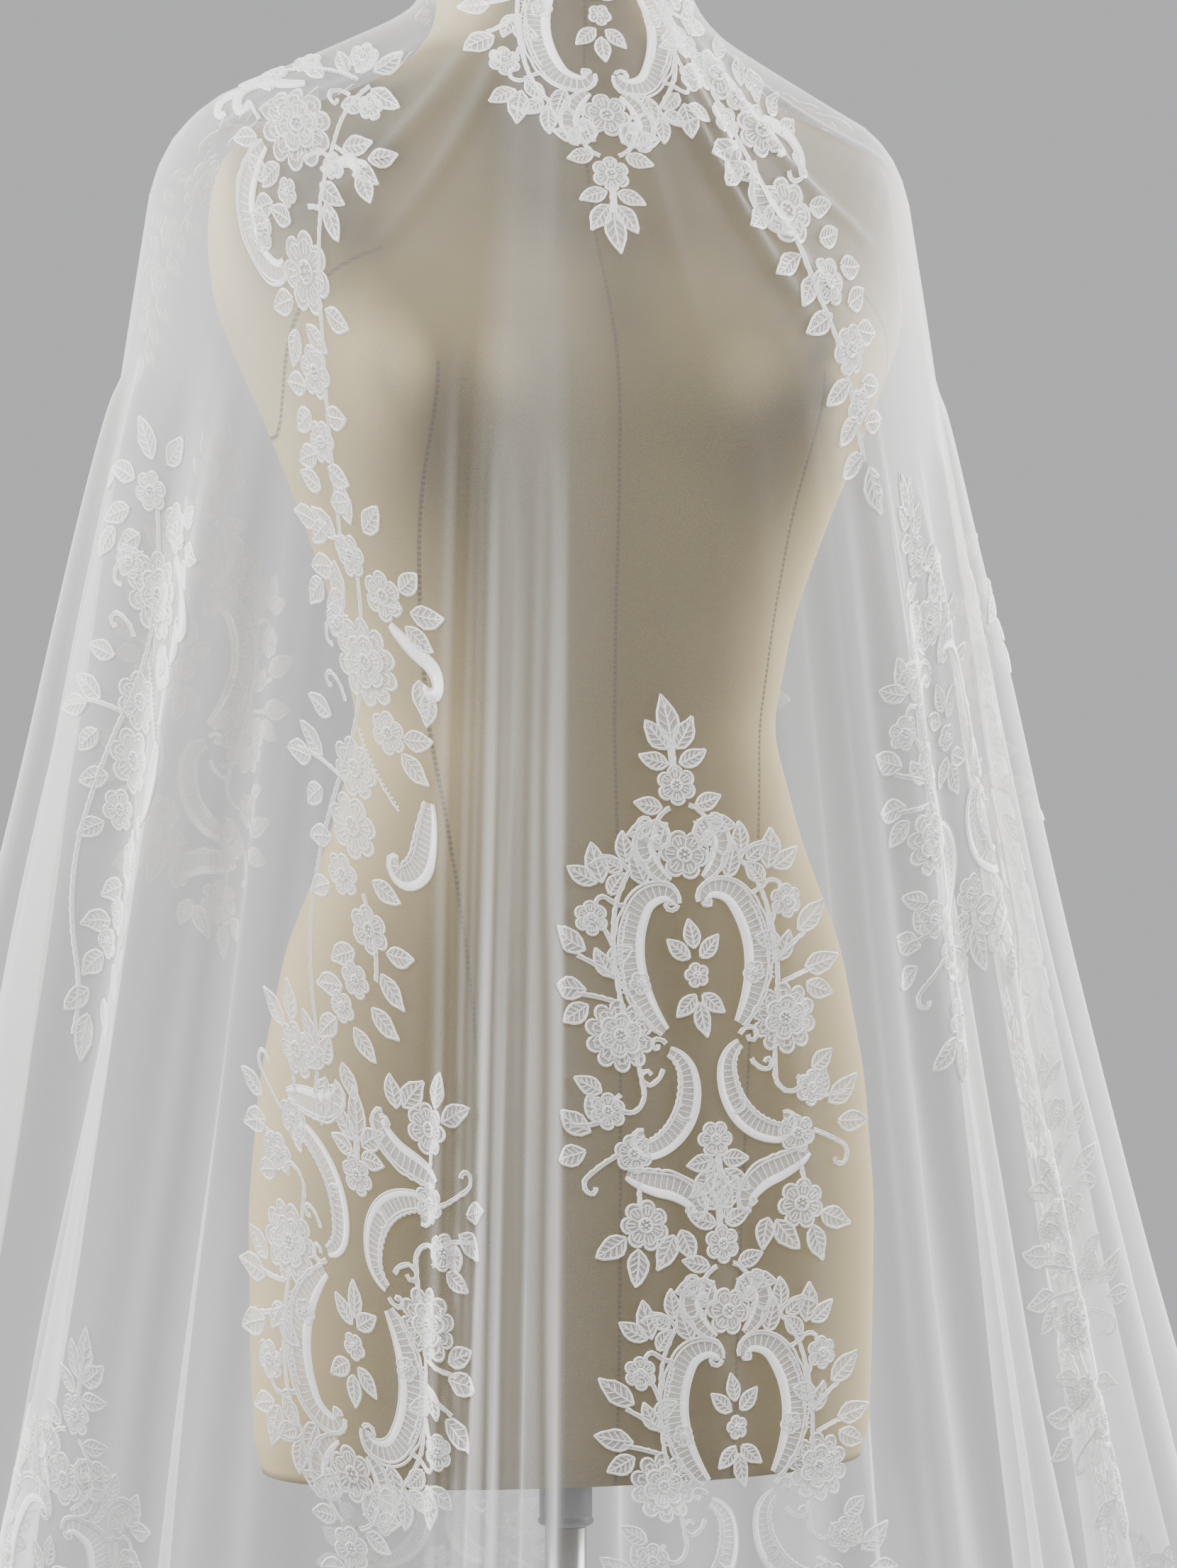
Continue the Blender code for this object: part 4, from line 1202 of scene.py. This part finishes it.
# Left shoulder, from its tip at the neck down the front; both sides as seen from the front
LEFT_SHOULDER_SCROLLS = (
    ("satin", -24, 58, 205, 3.4, ((22, -20), (20, 50), (14, 60), (10, 110), (7, 140))),
    ("ladder", -38, 12, 235, 6.4, ((26, 20), (24, 60), (18, 50), (10, 60))),
    ("cord", 8, 62, 160, 0.0, ((12, 60), (9, 120), (6, 140))),
    ("cord", -10, 14, 60, 0.0, ((14, -40), (10, -110), (7, -150))),
    ("cord", -44, 24, 110, 0.0, ((12, 50), (9, 120), (6, 140))),
    ("satin", -58, 44, 200, 3.0, ((18, 20), (12, 70), (8, 130))),
    ("satin", 4, 14, 50, 2.8, ((14, -10), (10, -60), (8, -120))),
    ("cord", -30, -20, 200, 0.0, ((12, 30), (8, 110), (6, 140))),
    ("cord", 18, 72, -130, 0.0, ((36, 38), (44, 6), (60, -6), (60, 4), (24, 0))),
    ("beaded", 12, 74, 178, 0.0, ((30, 12), (34, 14), (20, 10))),
    ("cord", 6, 30, -10, 0.0, ((26, 10),)),
    ("cord", -2, -6, 20, 0.0, ((18, -30),)),
)
LEFT_SHOULDER_LEAVES = (
    (20, 82, 40, 21, 11),
    (12, 78, 80, 17, 9.6),
    (20, 70, -20, 20, 11),
    (0, 74, 120, 18, 9.6),
    (-14, 66, 150, 18, 10.5),
    (-30, 66, 110, 18, 9.6),
    (-40, 62, 160, 18, 9.6),
    (-52, 54, 190, 18, 9.6),
    (4, 54, 20, 17, 9.6),
    (-44, 46, 130, 17, 9.6),
    (-44, 14, 190, 17, 9.6),
    (-26, 6, 225, 17, 9.6),
    (12, 32, 24, 19, 10.5),
    (22, 28, -30, 18, 10.5),
    (31, 32, 20, 17, 9.6),
    (28, 22, -62, 15, 9),
    (-34, -4, 150, 18, 9.6),
    (-28, -12, 200, 17, 9.6),
    (-14, -16, 170, 16, 9.6),
    (4, 8, -20, 18, 10.5),
    (10, 0, -60, 18, 9.6),
    (-14, -48, 200, 18, 10),
    (-4, -56, -34, 17, 9.6),
    (-12, -60, 245, 17, 9.6),
    (12, -46, -20, 17, 9.6),
    (-8, -82, 180, 15, 9),
    (-6, -92, 215, 15, 9),
    (6, -90, 0, 15, 9),
    (-4, -108, 200, 15, 9),
    (4, -112, -20, 15, 9),
    (-3, -122, 160, 15, 8.4),
    (4, -126, 10, 15, 8.4),
    (-1, -136, 215, 15, 8.4),
    (4, -140, -34, 15, 8.4),
    (2, -150, -90, 21, 9),
)
LEFT_SHOULDER_FLOWERS = (
    (8, 88, 10, 6),
    (-28, 76, 9, 6),
    (-48, 62, 9, 6),
    (-20, 30, 23, 10),
    (-2, -34, 17, 7),
    (0, -74, 10.5, 6),
    (1, -102, 8.5, 6),
    (-38, -26, 9, 6),
    (22, 60, 7.5, 5),
    (10, 20, 7, 5),
    (-18, -4, 6.5, 5),
)
# Right shoulder, from its tip at the neck down along the outline
RIGHT_SHOULDER_SCROLLS = (
    ("satin", 12, 52, -30, 3.6, ((22, -16), (16, -50), (9, -110), (7, -140))),
    ("cord", -20, 88, -70, 0.0, ((12, -50), (9, -120), (6, -140))),
    ("satin", -2, 62, -50, 2.8, ((18, 10), (14, -60), (8, -120))),
    ("cord", 26, 22, -120, 0.0, ((10, -60), (8, -120))),
    ("cord", -36, 114, -66, 0.0, ((50, -8), (60, -6), (60, 2), (62, 0))),
    ("cord", -14, 44, 200, 0.0, ((14, 20),)),
    ("beaded", 4, 40, 60, 0.0, ((20, -10), (14, -20))),
    ("ladder", -8, 34, 240, 4.6, ((20, 30), (18, 60), (10, 90))),
)
RIGHT_SHOULDER_LEAVES = (
    (-36, 118, 140, 20, 11),
    (-30, 106, 100, 17, 9.6),
    (-22, 98, 60, 19, 9.6),
    (-26, 94, 190, 18, 9.6),
    (-4, 88, 40, 17, 9.6),
    (8, 70, 60, 18, 9.6),
    (16, 60, 40, 18, 9.6),
    (24, 50, 16, 17, 9.6),
    (-16, 40, 190, 20, 11),
    (-20, 32, 220, 18, 9.6),
    (-12, 26, 160, 18, 9.6),
    (26, 38, -10, 19, 10.5),
    (20, 18, 20, 18, 9.6),
    (-10, 8, 200, 18, 9.6),
    (20, 2, -30, 18, 9.6),
    (-2, -16, 200, 18, 9.6),
    (18, -14, -20, 18, 9.6),
    (4, -28, 215, 16, 9),
    (26, -30, -34, 18, 9.6),
    (8, -46, 190, 17, 9.6),
    (22, -46, -10, 17, 9.6),
    (24, -58, -34, 19, 9.6),
    (12, -76, 200, 16, 9),
    (22, -80, -30, 16, 9),
    (16, -92, 210, 15, 8.4),
    (22, -96, -20, 15, 8.4),
    (18, -108, 200, 15, 8.4),
    (22, -114, -80, 22, 9.6),
)
RIGHT_SHOULDER_FLOWERS = (
    (-14, 78, 13, 6),
    (4, 48, 14, 7),
    (-4, 66, 8, 5),
    (2, 6, 16.5, 7),
    (12, -32, 10.5, 6),
    (16, -64, 10.5, 6),
    (-30, 92, 8.5, 6),
    (-18, 54, 8.5, 6),
    (22, 68, 8, 5),
    (18, -88, 7, 5),
)
# A climbing spray: half of the medallion's flowers along one side of a scroll, down to a leafy tip
SPRAY_SCROLLS = (
    ("cord", -16, 146, -70, 0.0, ((60, -16), (60, -20), (70, 10), (70, 24), (40, -24))),
    ("satin", 14, 116, -25, 4.0, ((24, 10), (14, -60), (10, -100), (6, -130))),
    ("ladder", 46, 36, -84, 6.4, ((30, -14), (18, -52), (10, -100), (6, -120))),
    ("cord", -12, 60, 110, 0.0, ((14, 60), (10, 120), (7, 150))),
    ("cord", -14, 104, 200, 0.0, ((18, 30), (10, 60), (8, 120))),
    ("beaded", -2, 52, -60, 0.0, ((22, 20), (20, 10))),
    ("cord", -6, 20, 170, 0.0, ((24, 20), (16, 20))),
    ("cord", 0, 122, 10, 0.0, ((22, 10),)),
    ("cord", 10, -30, -60, 0.0, ((20, -10), (22, -20))),
)
SPRAY_LEAVES = (
    (-18, 152, 125, 24, 12),
    (-8, 154, 60, 20, 11),
    (-28, 138, 165, 21, 11),
    (-44, 136, 190, 19, 10.5),
    (-28, 122, 205, 20, 11),
    (-36, 110, 240, 19, 10.5),
    (-18, 112, 220, 18, 10.5),
    (18, 136, 50, 17, 10),
    (26, 128, 8, 21, 11),
    (24, 120, -26, 18, 10),
    (34, 96, -76, 20, 10.5),
    (42, 92, -100, 18, 9.6),
    (28, 62, 14, 18, 10),
    (28, 54, -36, 19, 10.5),
    (-22, 46, 175, 18, 10),
    (-26, 22, 155, 20, 11),
    (-34, 16, 195, 20, 11),
    (-24, 6, 230, 17, 10),
    (-14, -14, 205, 18, 10),
    (16, -20, -14, 18, 10),
    (-12, -38, 215, 17, 9.6),
    (28, -52, 10, 17, 9.6),
    (8, -62, 215, 19, 10.5),
    (26, -64, -44, 19, 10.5),
    (2, -84, 200, 19, 10.5),
    (22, -84, -30, 19, 10.5),
    (0, -102, 230, 19, 10),
    (12, -100, -40, 18, 10),
    (-6, -124, 225, 18, 9.6),
    (6, -122, -56, 18, 9.6),
    (-4, -136, -98, 25, 10.5),
)
SPRAY_FLOWERS = (
    (-16, 136, 10, 6),
    (8, 128, 12, 6),
    (-22, 96, 8.5, 6),
    (0, 88, 21, 10),
    (18, 60, 10.5, 6),
    (-2, 30, 14.5, 7),
    (0, 0, 15.5, 7),
    (-4, -28, 10, 6),
    (16, -46, 11.5, 6),
    (10, -76, 8.5, 6),
    (3, -94, 7.5, 5),
)


def draw_lace(scrolls, leaves, flowers, mirrored):
    """A flat piece from its tables. A mirrored one has each row that stands off its middle line
    twice, left as (-across, up) with its headings and turns reversed."""
    drawn = FlatLace()
    for side in (1, -1) if mirrored else (1,):
        for kind, x, y, heading, half, arcs in scrolls:
            if side < 0:
                heading, arcs = 180 - heading, tuple((length, -turn) for length, turn in arcs)
            path = trail(side * x, y, heading, arcs)
            if kind == "satin":
                drawn.satin(path, half)
            elif kind == "ladder":
                drawn.ladder(path, half * side)
            elif kind == "beaded":
                drawn.cord(wavy(path, 0.3, 3.0))
                drawn.beaded(beside(path, 1.6 * side))
            else:
                drawn.cord(wavy(path, 0.25, 3.4), CORD_RADIUS * 1.15)
                drawn.cord(beside(path, 1.3), CORD_RADIUS * 0.7)
        for x, y, heading, length, width in leaves:
            if side < 0 and x == 0:
                continue
            drawn.leaf(side * x, y, heading if side > 0 else 180 - heading, length, width, 12.0 * side)
        for number, (x, y, radius, petals) in enumerate(flowers):
            if side < 0 and x == 0:
                continue
            if petals == 10:
                drawn.rose(side * x, y, radius, 17.0 * number)
            else:
                drawn.flower(side * x, y, radius, petals, 17.0 * number)
    return drawn.whole()


LACE_DRAWINGS = {
    "medallion": draw_lace(MEDALLION_SCROLLS, MEDALLION_LEAVES, MEDALLION_FLOWERS, True),
    "left_shoulder": draw_lace(LEFT_SHOULDER_SCROLLS, LEFT_SHOULDER_LEAVES, LEFT_SHOULDER_FLOWERS, False),
    "right_shoulder": draw_lace(RIGHT_SHOULDER_SCROLLS, RIGHT_SHOULDER_LEAVES, RIGHT_SHOULDER_FLOWERS, False),
    "spray": draw_lace(SPRAY_SCROLLS, SPRAY_LEAVES, SPRAY_FLOWERS, False),
}
LACE_PLACES = (
    # name, drawing, angle and height of its middle, lean, scale, node
    ("lace_throat_sewn", "medallion", -1, 1.518, 177, 1.0, "lace_throat"),
    ("lace_right_shoulder_sewn", "right_shoulder", 42, 1.400, -8, 1.25, "lace_right_shoulder"),
    ("lace_left_shoulder_sewn", "left_shoulder", -64, 1.408, 20, 1.12, "lace_left_shoulder"),
    ("lace_left_spray_sewn", "spray", -45, 1.080, 0, 0.96, "lace_left_medallion"),
    ("lace_front_medallion_sewn", "medallion", 3, 0.998, 4, 1.0, "lace_front_medallion"),
    ("lace_front_lower_sewn", "medallion", 4.5, 0.770, 2, 0.94, "lace_front_lower_medallion"),
    ("lace_front_hem_sewn", "medallion", 2, 0.330, 0, 1.1, "lace_front_hem_medallion"),
    ("lace_back_neck_sewn", "medallion", 180, 1.528, 180, 1.0, "lace_back_neck"),
    ("lace_back_right_shoulder_sewn", "left_shoulder", 118, 1.430, 0, 0.9, "lace_back_right_shoulder"),
    ("lace_back_left_shoulder_sewn", "right_shoulder", -118, 1.430, 0, 0.9, "lace_back_left_shoulder"),
    ("lace_back_medallion_sewn", "medallion", 180, 1.060, 0, 1.0, "lace_back_medallion"),
    ("lace_back_lower_sewn", "medallion", 180, 0.700, 0, 0.9, "lace_back_lower_medallion"),
    ("lace_back_hem_sewn", "medallion", 180, 0.330, 0, 1.1, "lace_back_hem_medallion"),
    ("lace_lower_left_sewn", "medallion", -41.5, 0.826, 184, 0.98, ""),
    ("lace_right_side_sewn", "medallion", 50, 1.120, 0, 1.0, ""),
    ("lace_lower_right_sewn", "medallion", 58, 0.860, 0, 0.9, ""),
    ("lace_far_left_sewn", "spray", -78, 1.110, 0, 1.0, ""),
    ("lace_low_far_left_sewn", "medallion", -66, 0.690, 0, 0.9, ""),
    ("lace_back_left_sewn", "medallion", -134, 1.160, 0, 1.0, ""),
    ("lace_back_right_sewn", "spray", 138, 1.120, 0, 1.0, ""),
    ("lace_hem_left_sewn", "spray", -36, 0.300, 0, 1.2, ""),
    ("lace_hem_right_sewn", "spray", 40, 0.300, 0, 1.2, ""),
    ("lace_hem_back_left_sewn", "spray", -146, 0.300, 0, 1.2, ""),
    ("lace_hem_back_right_sewn", "spray", 146, 0.300, 0, 1.2, ""),
    ("lace_hem_far_left_sewn", "medallion", -88, 0.600, 0, 0.9, ""),
    ("lace_hem_far_right_sewn", "medallion", 92, 0.600, 0, 0.9, ""),
    ("lace_far_right_sewn", "spray", 92, 1.080, 0, 1.0, ""),
)
SEWN_LIFT = 0.0003
HIGHEST_LACE_ROW = 3
HEM_MARGIN = 0.002
HALVINGS = 18
GROUND_PITCH = 0.0011
THREAD_PAINTED_GLOW = (1.0, 1.0, 0.98, 1.0)
CORD_COLOURS = ((0.70, 0.70, 0.68, 1.0), (0.90, 0.90, 0.88, 1.0))
SATIN_COLOURS = ((0.76, 0.76, 0.74, 1.0), (0.94, 0.94, 0.92, 1.0))
SATIN_STITCHES = (2600.0, 500.0, 1.0)
GROUND_COLOUR = (0.90, 0.90, 0.885, 1.0)
GLASS_COLOUR = (0.93, 0.94, 0.96, 1.0)
GLASS_COLOURS = ((0.62, 0.64, 0.67, 1.0), (0.98, 0.99, 1.0, 1.0))


def cloth_normals(grid):
    """Outward directions over a closed grid: down x around, both as differences of neighbours."""
    around = np.roll(grid, -1, axis=1) - np.roll(grid, 1, axis=1)
    down = np.gradient(grid, axis=0)
    normals = np.cross(down, around)
    return normals / np.maximum(np.linalg.norm(normals, axis=2), 1e-12)[:, :, None]


def between(values, rows, columns):
    """Values of a closed grid at rows and columns that aren't whole, mixed from the four around."""
    n = values.shape[1]
    r = np.clip(rows.astype(int), 0, len(values) - 2)
    c = np.floor(columns).astype(int)
    u, v = rows - r, columns - c
    if values.ndim == 3:
        u, v = u[:, None], v[:, None]
    low = values[r, c % n] * (1 - v) + values[r, (c + 1) % n] * v
    high = values[r + 1, c % n] * (1 - v) + values[r + 1, (c + 1) % n] * v
    return low * (1 - u) + high * u


def way_round(rows, columns):
    """Running length round a row, from its first column on, past its end and before its start."""
    whole = np.floor(columns)
    turns = np.floor(whole / veil_columns)
    at = whole - turns * veil_columns
    share = columns - whole
    r = np.clip(rows.astype(int), 0, len(cloth_round) - 2)
    u = rows - r
    k = at.astype(int)

    def on(row):
        start = cloth_round[row, k] * (1 - share) + cloth_round[row, k + 1] * share
        return start + turns * cloth_round[row, -1]

    return on(r) * (1 - u) + on(r + 1) * u


def sew(drawing, angle, height, lean, scale):
    """A flat drawing laid on the cloth. A point's up goes along the cloth's column through the
    middle and its across along the cloth's row there, both as lengths of cloth, so the piece bends
    with the folds and isn't stretched. Its height goes along the cloth's outward direction."""
    points, faces, finishes = drawing
    turned_by = math.radians(lean)
    x, y = points[:, 0] * scale / 1000, points[:, 1] * scale / 1000
    ahead, aside = math.cos(turned_by), math.sin(turned_by)
    x, y = x * ahead - y * aside, x * aside + y * ahead
    radius = np.hypot(cloth[..., 0], cloth[..., 1])
    facing = np.degrees(np.arctan2(cloth[..., 0], -cloth[..., 1]))
    off = np.radians((facing - angle + 180.0) % 360.0 - 180.0) * radius
    apart = np.hypot(off, cloth[..., 2] - height)
    apart[: len(CROWN_RINGS) + 1] = np.inf
    row, column = np.unravel_index(np.argmin(apart), apart.shape)
    way_down = cloth_down[row, column] - y
    rows = np.interp(way_down, cloth_down[:, column], np.arange(len(cloth)))
    wanted = way_round(rows, np.full(len(x), float(column))) + x
    low = np.full(len(x), column - veil_columns / 2.0)
    high = np.full(len(x), column + veil_columns / 2.0)
    for _ in range(HALVINGS):
        middle = (low + high) / 2
        short = way_round(rows, middle) < wanted
        low, high = np.where(short, middle, low), np.where(short, high, middle)
    columns = (low + high) / 2
    lift = points[:, 2:3] * scale / 1000 + SEWN_LIFT
    normals = between(cloth_outward, rows, columns)
    normals /= np.maximum(np.linalg.norm(normals, axis=1), 1e-9)[:, None]
    placed = between(cloth, rows, columns) + normals * lift
    kept = (way_down > cloth_down[HIGHEST_LACE_ROW, column])[faces].all(axis=1)
    kept &= (way_down < cloth_down[-1, column] - HEM_MARGIN)[faces].all(axis=1)
    return placed, faces[kept], finishes[kept]


def lace_finishes():
    """Matt cord with a fine twist, satin with drawn-out stitches, a denser net, and clear glass.
    The cord and satin glow faintly, painted light that makes the white threads brighter."""
    # Painted light: the cord and the satin glow faintly with a white light of their own.
    cord = Finish("lace_cord", Roughness=0.5, Emission_Color=THREAD_PAINTED_GLOW, Emission_Strength=0.14)
    twist = cord.noise(cord.place(source="UV"), 1500.0, 2.0)
    cord.feed(
        Base_Color=cord.mix(twist, *CORD_COLOURS),
        Normal=cord.bump(twist, 0.5, 0.0003),
    )
    satin = Finish("lace_satin", Roughness=0.28, Emission_Color=THREAD_PAINTED_GLOW, Emission_Strength=0.20)
    stitches = satin.noise(satin.place(SATIN_STITCHES, "UV"), 1.0, 2.0)
    satin.feed(
        Base_Color=satin.mix(stitches, *SATIN_COLOURS),
        Normal=satin.bump(stitches, 0.6, 0.0004),
    )
    ground = Finish("lace_ground", Base_Color=GROUND_COLOUR, Roughness=0.6)
    spot = ground.place(source="UV")
    u, v = (ground.coordinate(spot, axis) * (2 * math.pi / GROUND_PITCH) for axis in "XY")
    mesh = (u.sine().most(v.sine()) * 0.5 + 0.5).step(0.2, 0.7)
    ground.feed(Alpha=mesh * 0.34 + 0.12, Normal=ground.bump(mesh, 0.4, 0.0003))
    glass = Finish("lace_bead", Base_Color=GLASS_COLOUR, Roughness=0.06, Coat_Weight=1.0)
    clear = glass.noise(glass.place(source="UV"), 900.0, 1.0)
    glass.feed(Base_Color=glass.mix(clear, *GLASS_COLOURS))
    return [finish.made for finish in (cord, satin, ground, glass)]


cloth_outward = cloth_normals(cloth)
lace_materials = lace_finishes()
for lace_name, lace_drawing, lace_angle, lace_height, lace_lean, lace_scale, lace_node in LACE_PLACES:
    flat_points = LACE_DRAWINGS[lace_drawing][0]
    sewn_points, sewn_faces, sewn_finishes = sew(
        LACE_DRAWINGS[lace_drawing], lace_angle, lace_height, lace_lean, lace_scale
    )
    lace_uv = flat_points[:, :2] / 1000
    lace = mesh_piece(lace_name, sewn_points, sewn_faces, lace_materials, sewn_finishes, lace_uv)
    if lace_node:
        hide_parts(lace_node)
    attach(lace, "root")
